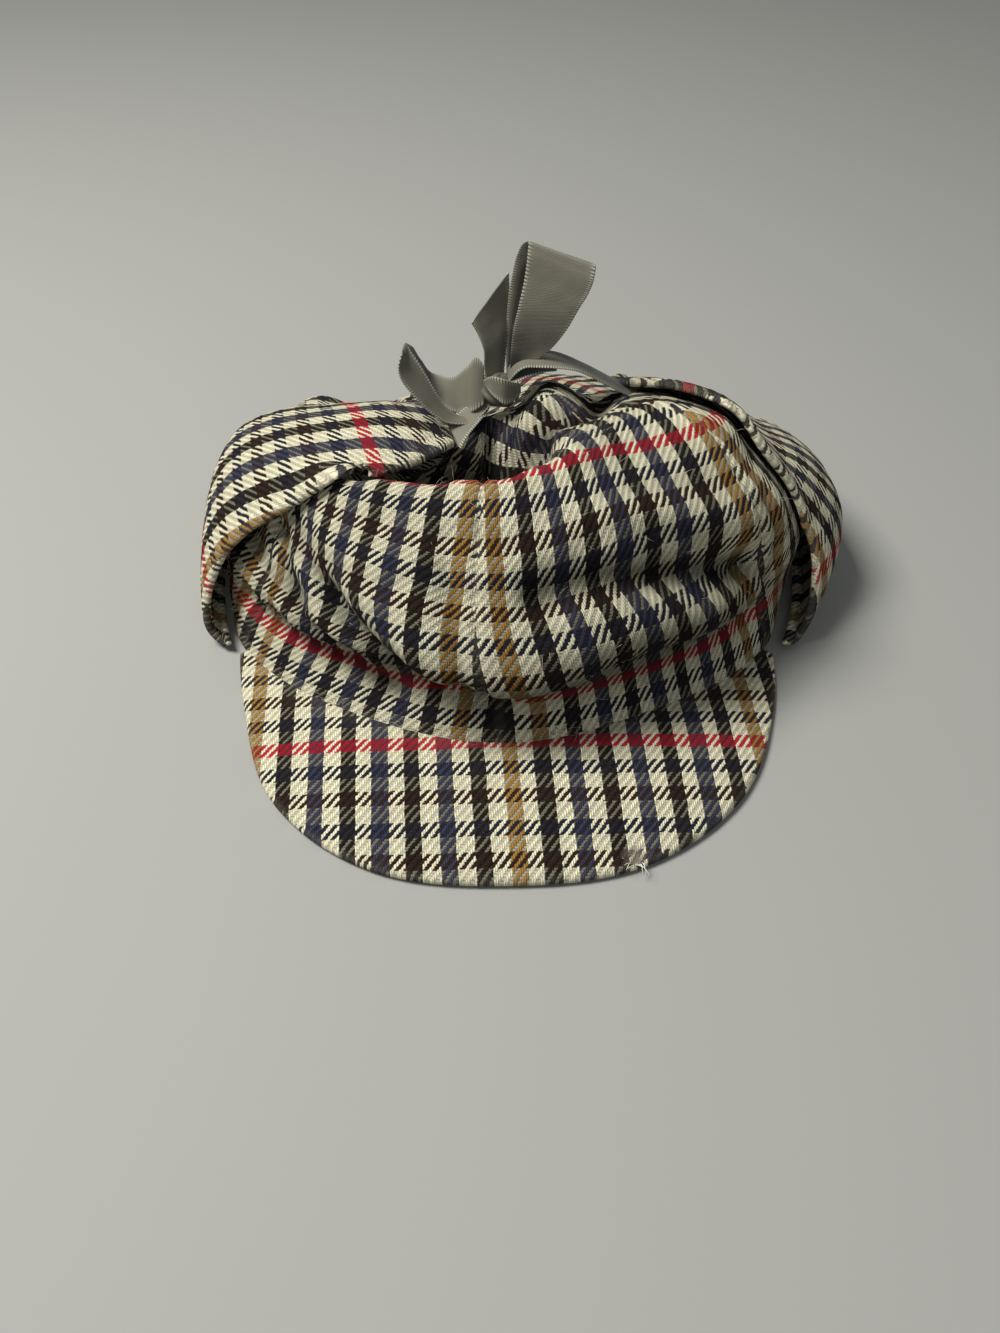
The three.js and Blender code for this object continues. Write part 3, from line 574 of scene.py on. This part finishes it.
    # painted shade: the colour is darkened by the per-point shade attribute, in creases, hollows and under bulges
    painted_shade = g.m("SUBTRACT", 1.0, g.attr("painted_shade"))
    col = g.mix(1.0, col, g.vec(painted_shade, painted_shade, painted_shade), "MULTIPLY")
    if hole:
        h = g.attr("hole")
        col = g.mix(h, col, (0.17, 0.155, 0.13))
    g.t.links.new(col, g.bsdf.inputs["Base Color"])
    g.bsdf.inputs["Roughness"].default_value = 0.95
    g.bsdf.inputs["Specular IOR Level"].default_value = 0.02
    g.bsdf.inputs["Sheen Weight"].default_value = 0.02
    g.bsdf.inputs["Sheen Roughness"].default_value = 0.6
    g.bsdf.inputs["Sheen Tint"].default_value = (0.9, 0.87, 0.8, 1)
    g.bump(g.m("ADD", height, g.m("MULTIPLY", fine, 0.5)), 1.0, 0.0004)
    return g.mat


def ribbon_material():
    g = Graph("ribbon_silk")
    vec, u, v = g.uv()
    ribs = g.m("SINE", g.m("MULTIPLY", v, 2 * math.pi / 0.42))
    grain = g.noise(g.vec(g.m("MULTIPLY", u, 0.8), g.m("MULTIPLY", v, 2.4), 0.0), 1.6, 3.0, 0.6)
    # painted shade: soft random streaks along the ribbon, drawn darker as shade in its creases
    crease = g.noise(g.vec(g.m("MULTIPLY", u, 0.12), v, 4.0), 0.35, 2.0, 0.5)
    edge = g.attr("selvedge")
    tick = g.m("GREATER_THAN", g.m("SINE", g.m("MULTIPLY", v, 2 * math.pi / 0.8)), -0.1)
    stitch = g.m("MULTIPLY", edge, tick)
    base = g.mix(grain, (0.118, 0.112, 0.083), (0.165, 0.158, 0.120))
    base = g.mix(g.m("MULTIPLY", crease, 0.3), base, (0.105, 0.10, 0.075))
    base = g.mix(g.m("MULTIPLY", stitch, 0.75), base, (0.42, 0.42, 0.33))
    base = g.mix(g.m("MULTIPLY", g.m("SUBTRACT", edge, stitch), 0.55), base, (0.05, 0.05, 0.04))
    # painted shade: the colour is darkened by the per-point shade attribute, inside the loops, on the tail and on the
    # knot
    painted_shade = g.m("SUBTRACT", 1.0, g.attr("painted_shade"))
    base = g.mix(1.0, base, g.vec(painted_shade, painted_shade, painted_shade), "MULTIPLY")
    g.t.links.new(base, g.bsdf.inputs["Base Color"])
    g.bsdf.inputs["Roughness"].default_value = 0.5
    g.bsdf.inputs["Specular IOR Level"].default_value = 0.4
    g.bsdf.inputs["Sheen Weight"].default_value = 0.15
    g.bsdf.inputs["Sheen Roughness"].default_value = 0.4
    h = g.m("ADD", g.m("MULTIPLY", ribs, 0.12), g.m("ADD", g.m("MULTIPLY", grain, 0.8), g.m("MULTIPLY", stitch, 0.9)))
    g.bump(h, 0.5, 0.0003)
    return g.mat


TWEED = tweed()
TWEED_PEAK = tweed("tweed_cloth_peak", hole=True)
RIBBON = ribbon_material()


# ---------------------------------------------------------------- crown piece
def crown_piece():
    nc, nj = 60, 150
    s = np.linspace(-1, 1, nc + 1)
    t = 0.62 * s + 0.38 * np.sin(np.pi / 2 * s)
    v = V_TOP * 0.985 * np.linspace(0, 1, nj)
    az, t_all, u_panel = [], [], []
    hw = np.interp(v, HALF_V, HALF_W)
    for p in range(6):
        a0, a1 = seam_az(60 * p, v), seam_az(60 * p + 60, v)
        if a1[0] < a0[0]:
            a1 = a1 + 360
        az.append(a0[None] + (a1 - a0)[None] * (t[:-1, None] + 1) / 2)
        t_all.append(np.repeat(t[:-1, None], nj, 1))
        u_panel.append(t[:, None] * hw[None] * CHECK)
    az, t_all = np.concatenate(az), np.concatenate(t_all)
    vv = np.broadcast_to(v, az.shape)
    p0 = crown(az, vv)
    n0 = grid_normals(p0, wrap=True)
    half = (hw * CHECK)[None]
    seam = (1 - np.abs(t_all)) * half
    groove = -0.9 * np.exp(-((seam / 0.9) ** 2)) + 0.35 * np.exp(-(((seam - 2.6) / 1.6) ** 2))
    pucker = 0.28 * lattice_noise(p0, 6.0, 3) * np.exp(-((seam / 5) ** 2))
    swell = 0.55 * lattice_noise(p0, 17.0, 1) + 0.22 * lattice_noise(p0, 6.5, 2) + 0.1 * lattice_noise(p0, 2.6, 5)
    fade = np.clip(vv / 6, 0, 1) * np.clip((V_TOP - vv) / 10, 0, 1)
    d = (groove * np.clip((V_TOP - vv) / 30, 0, 1) + pucker + swell) * fade
    outer = p0 + n0 * d[..., None]
    soft = p0.copy()
    for _ in range(6):
        soft[:, 1:-1] = 0.25 * (np.roll(soft, 1, 0) + np.roll(soft, -1, 0))[:, 1:-1] + 0.25 * (soft[:, 2:] + soft[:, :-2])
    ns = grid_normals(soft, wrap=True)
    up = np.clip((vv - 116) / 20, 0, 1)[..., None]
    ns = unit(ns * (1 - up) + np.array([0, 0, 1.0]) * up)
    rows = np.unique(np.round(np.linspace(0, nj - 1, 38)).astype(int))
    inner = (soft - ns * CROWN_WALL)[:, rows]
    inner[:, 0, 2] = outer[:, 0, 2]
    ni, nr = outer.shape[0], len(rows)
    apex = crown(np.array([0.0]), np.array([V_TOP]))[0]
    verts = np.concatenate([outer.reshape(-1, 3), inner.reshape(-1, 3), [apex, apex - [0, 0, CROWN_WALL]]])
    base = ni * nj
    a_out, a_in = len(verts) - 2, len(verts) - 1
    fo = quads(ni, nj, wrap=True)
    fi = quads(ni, nr, base, flip=True, wrap=True)
    # uv: each panel has its own
    def panel_uv(cols, vs, nrow):
        uo = []
        for p in range(6):
            uu = cols[p]
            I, J = np.meshgrid(np.arange(nc), np.arange(nrow - 1), indexing="ij")
            I, J = I.ravel(), J.ravel()
            corner = [(I, J), (I + 1, J), (I + 1, J + 1), (I, J + 1)]
            uo.append(np.stack([np.stack([uu[a, b], vs[b]], -1) for a, b in corner], 1))
        return np.concatenate(uo)
    # the red row lies 16 mm up, and the next one eight checks on
    vcloth = (v - 16) * (8 * CHECK / 76)
    uvo = panel_uv(u_panel, vcloth, nj)
    uvi = panel_uv([u[:, rows] for u in u_panel], vcloth[rows], nr)[:, ::-1]
    i = np.arange(ni)
    i2 = (i + 1) % ni
    rim = np.stack([i2 * nj, i * nj, base + i * nr, base + i2 * nr], -1)
    tips = [np.stack([i * nj + nj - 1, i2 * nj + nj - 1, 0 * i + a_out], -1),
            np.stack([base + i2 * nr + nr - 1, base + i * nr + nr - 1, 0 * i + a_in], -1)]
    ucol = np.concatenate([u[:-1, 0] for u in u_panel])
    uv_rim = np.stack([np.stack([ucol, 0 * ucol + vcloth[0]], -1)] * 4, 1)
    uv_tip = np.tile(np.array([[0.0, vcloth[-1]]]), (3 * ni, 1))
    faces = fo.tolist() + fi.tolist() + rim.tolist() + tips[0].tolist() + tips[1].tolist()
    uvs = np.concatenate([uvo.reshape(-1, 2), uvi.reshape(-1, 2), uv_rim.reshape(-1, 2), uv_tip, uv_tip])
    worn = 0.55 * np.exp(-((seam / 1.3) ** 2)) + 0.35 * np.exp(-((vv / 2.0) ** 2))
    worn = worn + 0.5 * np.exp(-((line_distance(p0, fold_line((-10, 96, 8, 99, 32, 101))) / 3.0) ** 2))
    worn = np.clip(worn, 0, 1)
    # painted shade: the cloth is drawn darker along each sunken fold, in the hollow near the top of the crown, and low
    # on the front under the bulging belly
    fold_shade = 0
    for f in FOLDS + WRINKLES:
        if f[8] < 0:
            fold_shade = fold_shade + min(0.75, 0.16 * -f[8]) * np.exp(-((line_distance(p0, crown_line(f[1:7])) / (0.75 * f[7])) ** 2))
    hollow = np.exp(-((np.clip(vv - 100, 0, 60) - 34) / 24.0) ** 2) * np.clip((vv - 99) / 8, 0, 1)
    side = np.exp(-(((((az + 22 + 180) % 360) - 180) / 52.0) ** 2))
    turn = (az + 180) % 360 - 180
    under = 0.55 * np.exp(-(((vv - 23) / 11.0) ** 2)) * np.exp(-(((turn - 12) / 52.0) ** 2))
    under = under + 0.16 * np.exp(-((turn / 62.0) ** 4)) * (1 - np.clip((vv - 82) / 14, 0, 1)) * np.clip(vv / 10, 0, 1)
    under = under + 0.42 * np.exp(-(((vv - 34) / 14.0) ** 2)) * np.exp(-(((turn - 30) / 24.0) ** 2))
    painted_shade = np.clip(1 - (1 - np.clip(fold_shade, 0, 0.6)) * (1 - 0.88 * hollow * side) * (1 - np.clip(under, 0, 0.7)), 0, 0.9)
    o = build("crown_cloth", verts, faces, uvs, TWEED,
              {"painted_shade": np.concatenate([painted_shade.ravel(), painted_shade[:, rows].ravel(), [0, 0]]), "worn": np.concatenate([worn.ravel(), worn[:, rows].ravel(), [0, 0]])})
    return o, outer


crown_cloth, crown_grid = crown_piece()
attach(crown_cloth, "root")
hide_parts("crown")

# points of the crown that the flaps keep clear of
CAZ, CV = np.meshgrid(np.arange(0, 360, 3.0), np.arange(0, 157, 3.0), indexing="ij")
CP = crown(CAZ, CV)
CN = grid_normals(CP, wrap=True)
CP, CN = CP.reshape(-1, 3), CN.reshape(-1, 3)
TREE = kdtree.KDTree(len(CP))
for idx, pt in enumerate(CP):
    TREE.insert(pt, idx)
TREE.balance()


def clear_of_crown(p, clearance):
    p = p.copy()
    flat = p.reshape(-1, 3)
    for a in range(len(flat)):
        q = flat[a]
        for _ in range(4):
            _, k, _ = TREE.find(Vector(q))
            h = (q - CP[k]) @ CN[k]
            if h >= clearance - 0.05:
                break
            q = q + CN[k] * (clearance - h)
        flat[a] = q
    return p


# ---------------------------------------------------------------- flaps
def flap_piece(name, node, table, side):
    ns, near = 130, np.array([0, 0.15, 0.45, 0.9, 1.5, 2.4, 3.6])
    s = FLAP_LENGTH * np.concatenate([np.linspace(0, 0.985, ns - 5) ** 1.05, [0.990, 0.9945, 0.9975, 0.9992, 1.0]])

    def point(ss, w):
        c = [hermite(table[:, 0], np.broadcast_to(table[:, j], ss.shape + (len(table),)), ss) for j in range(1, 10)]
        f, m, b = np.stack(c[0:3], -1), np.stack(c[3:6], -1), np.stack(c[6:9], -1)
        w = w[..., None]
        return f * (w * (w - 1) / 2) + m * (1 - w * w) + b * (w * (w + 1) / 2)

    probe = np.linspace(-1, 1, 15)
    pr = point(np.broadcast_to(s, (15, len(s))), np.broadcast_to(probe[:, None], (15, len(s))))
    half = np.linalg.norm(np.diff(pr, axis=0), axis=-1).sum(0) / 2
    mid = np.linspace(-1, 1, 46)[1:-1]
    w = np.empty((len(near) * 2 + len(mid), len(s)))
    for j in range(len(s)):
        e = near / half[j]
        inner = 1 - e[-1]
        w[:, j] = np.concatenate([-(1 - e), mid * (inner - 0.02), (1 - e)[::-1]])
    w = -side * w  # for the left flap the back edge is seen on the left from outside
    ss = np.broadcast_to(s, w.shape)
    p = point(ss, w)
    cleared = clear_of_crown(p[:, s > 30], FLAP_WALL + FLAP_CLEAR)
    p[:, s > 30] = cleared
    # smooth away the kinks left by pushing it clear
    for _ in range(3):
        p[1:-1, 1:-1] = 0.5 * p[1:-1, 1:-1] + 0.125 * (p[2:, 1:-1] + p[:-2, 1:-1] + p[1:-1, 2:] + p[1:-1, :-2])
    n = grid_normals(p)
    d_edge = (1 - np.abs(w)) * half[None]
    d_tip = FLAP_LENGTH - ss
    dist = np.minimum(np.minimum(d_edge, d_tip * 0.9), ss + 0.3)
    dist = np.where(ss <= 0, 0, dist)
    seam = np.minimum(d_edge, d_tip)
    ridge = 0.35 * np.exp(-(((seam - 2.0) / 1.2) ** 2)) - 0.45 * np.exp(-(((seam - 4.6) / 0.9) ** 2))
    wave = 0.5 * lattice_noise(p, 19.0, 8) + 0.2 * lattice_noise(p, 7.0, 9) + 0.08 * lattice_noise(p, 2.6, 10)
    fade = np.clip(seam / 0.8, 0, 1) * np.clip((ss - 12) / 10, 0, 1)
    p = p + n * ((ridge + wave) * fade)[..., None]
    u = w * half[None]
    vcloth = ss - 35.0
    worn = 0.75 * np.exp(-((seam / 1.3) ** 2)) + 0.2 * np.exp(-(((seam - 4.6) / 0.8) ** 2))
    o = pillow(name, p, np.stack([-side * u, vcloth], -1), FLAP_WALL, dist, 1.25, TWEED, {"worn": worn}, n=n)
    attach(o, "root")
    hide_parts(node)
    return o, p, n


flap_left, FLP, FLN = flap_piece("flap_left_cloth", "ear_flap_left", FLAP_LEFT, 1)
flap_right, FRP, FRN = flap_piece("flap_right_cloth", "ear_flap_right", FLAP_RIGHT, -1)


# ---------------------------------------------------------------- peaks
def peak_piece(name, node, turn, hole):
    na, edge = 110, np.array([0, 0.0011, 0.0035, 0.008, 0.015, 0.025, 0.04])
    core = np.linspace(-1, 1, na)[1:-1] * (1 - 0.05)
    f = np.concatenate([-(1 - edge), core, (1 - edge)[::-1]])
    ang = PEAK_HALF_ANGLE * f
    q = np.concatenate([1 - np.array([0, 0.003, 0.009, 0.018, 0.032, 0.055]), np.linspace(0.93, 0.05, 46),
                        [0.03, 0.018, 0.008, 0.0]])
    A, Q = np.meshgrid(ang, q, indexing="ij")
    az = A + turn
    rows = REAR_PEAK if turn else PEAK
    ro = hermite(rows[:, 0], np.broadcast_to(rows[:, 1], A.shape + (9,)), A)
    # the sewn edge runs in under the rim of the crown
    ri = periodic(CROWN[:, 1], az) - 1.4
    r = ri + (ro - ri) * Q
    z = np.maximum(rim_z(az) + 0.9, PEAK_EDGE_Z) * (1 - Q) + PEAK_EDGE_Z * Q + 1.2 * np.sin(np.pi * Q) * np.cos(np.radians(A * 1.3))
    a = np.radians(az)
    p = np.stack([r * np.sin(a), -r * np.cos(a), z], -1)
    d_out = (1 - Q) * (ro - ri)
    d_in = Q * (ro - ri)
    d_side = (PEAK_HALF_ANGLE - np.abs(A)) * np.pi / 180 * 95
    seam = np.minimum(d_out, d_side)
    dist = np.minimum(seam, d_in)
    wave = 0.35 * lattice_noise(p, 22.0, 21) + 0.14 * lattice_noise(p, 7.0, 22) + 0.06 * lattice_noise(p, 2.6, 23)
    p[..., 2] += wave * np.clip(seam / 1.5, 0, 1) * np.clip(d_in / 1.5, 0, 1)
    worn = 0.6 * np.exp(-((seam / 1.1) ** 2)) + 0.3 * np.exp(-((d_in / 4.5) ** 2))
    at = {"worn": worn}
    m = np.zeros_like(worn)
    if hole:
        hx, hy, hr = MOTH
        rr = np.hypot(p[..., 0] - hx, p[..., 1] - hy)
        th = np.arctan2(p[..., 1] - hy, p[..., 0] - hx)
        hr = hr * (1 + 0.18 * np.sin(3 * th + 1) + 0.12 * np.sin(5 * th))
        m = 1 / (1 + np.exp((rr - hr) / 0.22))
        p[..., 2] -= 1.0 * m
    at["hole"] = m
    # the cloth's lines run slightly askew to the hat
    c, s_ = 0.9975, 0.07
    x, y = (p[..., 0], p[..., 1]) if turn == 0 else (-p[..., 0], -p[..., 1])
    u = ((x - 0.3) * c + (y + 98) * s_) * 1.043 + 4 * CHECK
    vv = ((y + 98) * c - (x - 0.3) * 0.045 - (1.5 + 0.00085 * x * x - 0.020 * x)) * 1.04
    n = np.zeros_like(p)
    n[..., 2] = 1.0
    top = p[:, ::-1]  # j runs from the outer edge to the seam
    # seen from above, i to the right, j up
    p2, uv2 = p, np.stack([u, vv], -1)
    o = pillow(name, p2, uv2, PEAK_WALL, dist, 1.4, TWEED_PEAK if hole else TWEED, at, n=n)
    # nothing may go under the floor
    me = o.data
    for vert in me.vertices:
        vert.co.z = max(vert.co.z, 0.0002)
    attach(o, "root")
    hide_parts(node)
    return o


peak_front = peak_piece("peak_front_cloth", "front_peak", 0, True)
peak_rear = peak_piece("peak_rear_cloth", "rear_peak", 180, False)


# ---------------------------------------------------------------- stray wool
def wool_material(name, color):
    g = Graph(name)
    g.bsdf.inputs["Base Color"].default_value = (*color, 1)
    g.bsdf.inputs["Roughness"].default_value = 0.9
    g.bsdf.inputs["Specular IOR Level"].default_value = 0.1
    return g.mat


def strands(name, roots, normals, along, lengths, radius, material, steps=5):
    """Short bent hairs, each a closed three-sided tube, in one mesh."""
    verts, faces, off = [], [], 0
    for r0, n, d, length in zip(roots, normals, along, lengths):
        d = unit(d + 0.5 * RNG.normal(size=3))
        bend = RNG.normal(size=3) * 0.5
        path = [r0 - n * 0.25 + (n * 0.8 * math.sin(2.6 * t) * 0.35 + d * t + bend * t * t * 0.35) * length for t in np.linspace(0, 1, steps)]
        path = np.array(path)
        path[:, 2] = np.maximum(path[:, 2], 0.3)
        tan = unit(np.gradient(path, axis=0))
        side = unit(np.cross(tan, n + 0.01))
        up = np.cross(side, tan)
        rr = radius * np.linspace(1, 0.5, steps)[:, None]
        for q in range(3):
            a = 2 * math.pi * q / 3
            verts.append(path + (side * math.cos(a) + up * math.sin(a)) * rr)
        for j in range(steps - 1):
            for q in range(3):
                a, b = off + q * steps + j, off + (q + 1) % 3 * steps + j
                faces.append((a, a + 1, b + 1, b))
        faces.append((off, off + steps, off + 2 * steps))
        e = off + steps - 1
        faces.append((e, e + 2 * steps, e + steps))
        off += 3 * steps
    n_corner = sum(len(f) for f in faces)
    o = build(name, np.concatenate(verts), faces, np.zeros((n_corner, 2)), material)
    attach(o, "root")
    return o


def hairs_on(count, az_range, v_of, spread):
    a = RNG.uniform(*az_range, count)
    v = v_of(a) + RNG.normal(size=count) * spread
    v = np.clip(v, 1, V_TOP - 6)
    p = crown(a, v)
    n = normal_of(crown, a, v, 1.0, 1.0, 0, V_TOP)
    t = unit(crown(a + 1, v) - p) * RNG.choice([-1, 1], count)[:, None] + RNG.normal(size=(count, 3)) * 0.5
    return p, n, t


PALE = wool_material("wool_pale", (0.50, 0.46, 0.36))
DARK = wool_material("wool_dark", (0.035, 0.032, 0.035))
for label, mat, count in (("pale", PALE, 1), ("dark", DARK, 1)):
    sets = [hairs_on(90 * count, (-16, 34), lambda a: 98 + 0 * a, 3.0), hairs_on(110 * count, (-56, 56), lambda a: 2.0 + 0 * a, 1.2),
            hairs_on(160 * count, (-75, 75), lambda a: 50 + 0 * a, 24.0), hairs_on(40 * count, (-6, 2), lambda a: 50 + 0 * a, 26.0)]
    P, N, T = (np.concatenate([q[c] for q in sets]) for c in range(3))
    strands("wool_" + label, P, N, T, RNG.uniform(1.5, 4.2, len(P)), 0.05, mat)
hx, hy, hr = MOTH
angle = np.linspace(-2.6, -0.5, 9)
root = np.stack([hx + hr * 1.05 * np.cos(angle), hy + hr * 1.05 * np.sin(angle), 3.0 + 0 * angle], -1)
out = np.stack([np.cos(angle), np.sin(angle), 0.05 + 0 * angle], -1)
strands("hole_threads", root, np.tile([[0, 0, 1.0]], (9, 1)), out, RNG.uniform(2.0, 4.2, 9), 0.13, wool_material("wool_white", (0.80, 0.77, 0.68)), 6)


# ---------------------------------------------------------------- ribbons
def ribbon_piece(name, node, rows, wide=22.0, curl=0.0, wall=0.45, sheet=True, loop_shade=None):
    rows = np.array(rows, float)
    mid = (rows[:, :3] + rows[:, 3:]) / 2
    knots = np.concatenate([[0], np.cumsum(np.linalg.norm(np.diff(mid, axis=0), axis=1))])
    total = knots[-1]
    nk = max(12, int(total / 0.2))
    k = np.linspace(0, total, nk)
    e = [np.stack([hermite(knots, np.broadcast_to(rows[:, c], (nk, len(rows))), k) for c in cols], -1)
         for cols in ((0, 1, 2), (3, 4, 5))]
    width = np.linalg.norm(e[1] - e[0], axis=1).mean()
    x = np.concatenate([[0, 0.006, 0.02, 0.04], np.linspace(0.07, 0.93, 15), [0.96, 0.98, 0.994, 1.0]])
    p = e[0][None] * (1 - x)[:, None, None] + e[1][None] * x[:, None, None]
    n = grid_normals(p)
    dx = np.minimum(x, 1 - x)[:, None] * width
    dk = np.minimum(k, total - k)[None]
    picot = 0.09 * np.sin(2 * np.pi * k / 0.8)[None] * np.exp(-((dx / 0.8) ** 2))
    out_dir = unit(e[1] - e[0])
    p = p + np.where(x[:, None, None] > 0.5, 1, -1) * out_dir[None] * picot[..., None]
    ripple = 0.10 * lattice_noise(p, 3.2, 31) + 0.16 * lattice_noise(p, 7.5, 32) + 0.9 * curl * (1 - (2 * x - 1) ** 2)[:, None]
    bead = 0.10 * np.exp(-((dx / 0.7) ** 2))
    p = p + n * (ripple + bead)[..., None]
    dist = np.minimum(dx + 0 * dk, dk + 0 * dx)
    sel = np.exp(-((np.maximum(dx - 0.35, 0) / 0.45) ** 2)) + 0 * dk
    uv = np.stack([np.broadcast_to(x[:, None] * wide, sel.shape), np.broadcast_to(k[None], sel.shape)], -1)
    p = p + n * (wall / 2)
    # painted shade along the ribbon comes from the shade function, when one is given
    o = pillow(name, p, uv, wall, dist, 0.22, RIBBON, {"selvedge": sel, "painted_shade": (0 if loop_shade is None else loop_shade(x[:, None], (k / total)[None])) + 0 * sel}, n=n)
    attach(o, "root")
    if node:
        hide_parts(node)
    if not sheet:
        return o
    return o


def ramp(x, a, b):
    return np.clip((x - a) / (b - a), 0, 1)


# painted shade on the inside of each loop: x across the ribbon, t along it
def tall_loop_shade(x, t):
    back = ramp(x, 0.04, 0.12) * (1 - ramp(t, 0.40, 0.47)) * 0.85
    low = 0.75 * ramp(t, 0.66, 0.88) * (1 - ramp(x, 0.25, 0.85)) + 0.5 * ramp(t, 0.86, 1.0)
    return np.clip(back + low, 0, 0.88)


def left_loop_shade(x, t):
    return np.clip(0.85 * ramp(t, 0.50, 0.56) * (1 - ramp(t, 0.70, 0.80)) * (1 - 0.25 * x) + 0.5 * ramp(t, 0.94, 1.0), 0, 0.88)


ribbon_piece("ribbon_loop_tall", "bow_loop_tall", RIBBONS["bow_loop_tall"], loop_shade=tall_loop_shade)
# painted shade on the tail: darker on one half of its width over its first half, and near its start
ribbon_piece("ribbon_tail", "bow_tail", RIBBONS["bow_tail"], loop_shade=lambda x, t: 0.6 * ramp(x, 0.55, 1.0) * (1 - ramp(t, 0.5, 0.9)) + 0.35 * (1 - ramp(t, 0.0, 0.25)))
ribbon_piece("ribbon_loop_left", "bow_loop_left", RIBBONS["bow_loop_left"], loop_shade=left_loop_shade)
ribbon_piece("ribbon_tie_left", "tie_left", RIBBONS["tie_left"])
ribbon_piece("ribbon_tie_right", "tie_right", RIBBONS["tie_right"])
ribbon_piece("ribbon_tail_right", "bow_tail_right", RIBBONS["bow_tail_right"])


def knot_piece():
    na, nu = 96, 48
    ph = 2 * np.pi * np.arange(na) / na
    th = np.pi * (np.linspace(0.002, 0.998, nu) - 0.5)
    PH, TH = np.meshgrid(ph, th, indexing="ij")
    k = 1 - 0.08 * np.cos(2 * TH) * np.cos(PH) ** 2
    d = np.stack([np.cos(TH) * np.cos(PH), np.cos(TH) * np.sin(PH), np.sin(TH)], -1)
    p = np.array(KNOT) + d * np.array([6.0, 5.0, 4.6]) * k[..., None]
    # wraps of ribbon: sloping ridges round the knot
    wrap = np.sin((d[..., 2] * 1.3 + d[..., 0] * 0.8) * 7.0)
    p = p + d * (0.35 * wrap)[..., None]
    verts = np.concatenate([p.reshape(-1, 3), [p[:, 0].mean(0)], [p[:, -1].mean(0)]])
    f = quads(na, nu, wrap=True)
    uvf = np.stack([PH * 5, TH * 5], -1).reshape(-1, 2)
    i = np.arange(na)
    i2 = (i + 1) % na
    bot = np.stack([i2 * nu, i * nu, 0 * i + na * nu], -1)
    top = np.stack([i * nu + nu - 1, i2 * nu + nu - 1, 0 * i + na * nu + 1], -1)
    uvs = np.concatenate([uvf[f].reshape(-1, 2), np.zeros((3 * na, 2)), np.zeros((3 * na, 2))])
    # painted shade: the whole knot is drawn 45 % darker
    o = build("ribbon_knot", verts, f.tolist() + bot.tolist() + top.tolist(), uvs, RIBBON,
              {"selvedge": np.zeros(len(verts)), "painted_shade": np.full(len(verts), 0.45)})
    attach(o, "root")
    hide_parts("bow_knot")
    return o


knot_piece()
ribbon_piece("ribbon_knot_band", None, RIBBONS["knot_band"], sheet=False)

# ---------------------------------------------------------------- stage
def plain(name, color, rough=0.8):
    g = Graph(name)
    g.bsdf.inputs["Base Color"].default_value = (*color, 1)
    g.bsdf.inputs["Roughness"].default_value = rough
    return g.mat


def plane(name, corners, mat):
    me = bpy.data.meshes.new(name)
    me.from_pydata(corners, [], [(0, 1, 2, 3)])
    me.materials.append(mat)
    o = bpy.data.objects.new(name, me)
    bpy.context.scene.collection.objects.link(o)
    return o


OY = float(SHIFT[1]) / 1000
plane("floor", [(-2.5, -2.5, 0), (2.5, -2.5, 0), (2.5, 2.5, 0), (-2.5, 2.5, 0)], plain("floor_grey", (0.30, 0.305, 0.285)))

world = bpy.data.worlds.new("soft")
bpy.context.scene.world = world
world.use_nodes = True
world.node_tree.nodes["Background"].inputs[0].default_value = (0.93, 0.96, 1.0, 1)
world.node_tree.nodes["Background"].inputs[1].default_value = 0.21


def area(name, loc, target, size, energy, color):
    d = bpy.data.lights.new(name, "AREA")
    d.shape = "RECTANGLE"
    d.size, d.size_y = size
    d.energy = energy
    d.color = color
    o = bpy.data.objects.new(name, d)
    o.location = loc
    o.rotation_euler = (Vector(target) - Vector(loc)).to_track_quat("-Z", "Y").to_euler()
    bpy.context.scene.collection.objects.link(o)


area("key", (-0.52, -0.05 + OY, 0.98), (0, 0, 0.03), (0.45, 0.45), 17.5, (1.0, 0.975, 0.93))
area("fill", (0.2, -1.1 + OY, 0.8), (0, 0, 0.03), (0.9, 0.6), 2.0, (0.95, 0.97, 1.0))

cam_data = bpy.data.cameras.new("camera")
cam_data.sensor_width = 36
cam_data.lens = 36 * 1150 / 1333
cam_data.clip_start = 0.01
cam = bpy.data.objects.new("camera", cam_data)
cam.location = put((-2.1, -313.6, 249.4))
cam.rotation_euler = (math.radians(46), 0, 0)
bpy.context.scene.collection.objects.link(cam)
bpy.context.scene.camera = cam
bpy.context.scene.view_settings.view_transform = "Standard"

bpy.context.view_layer.update()
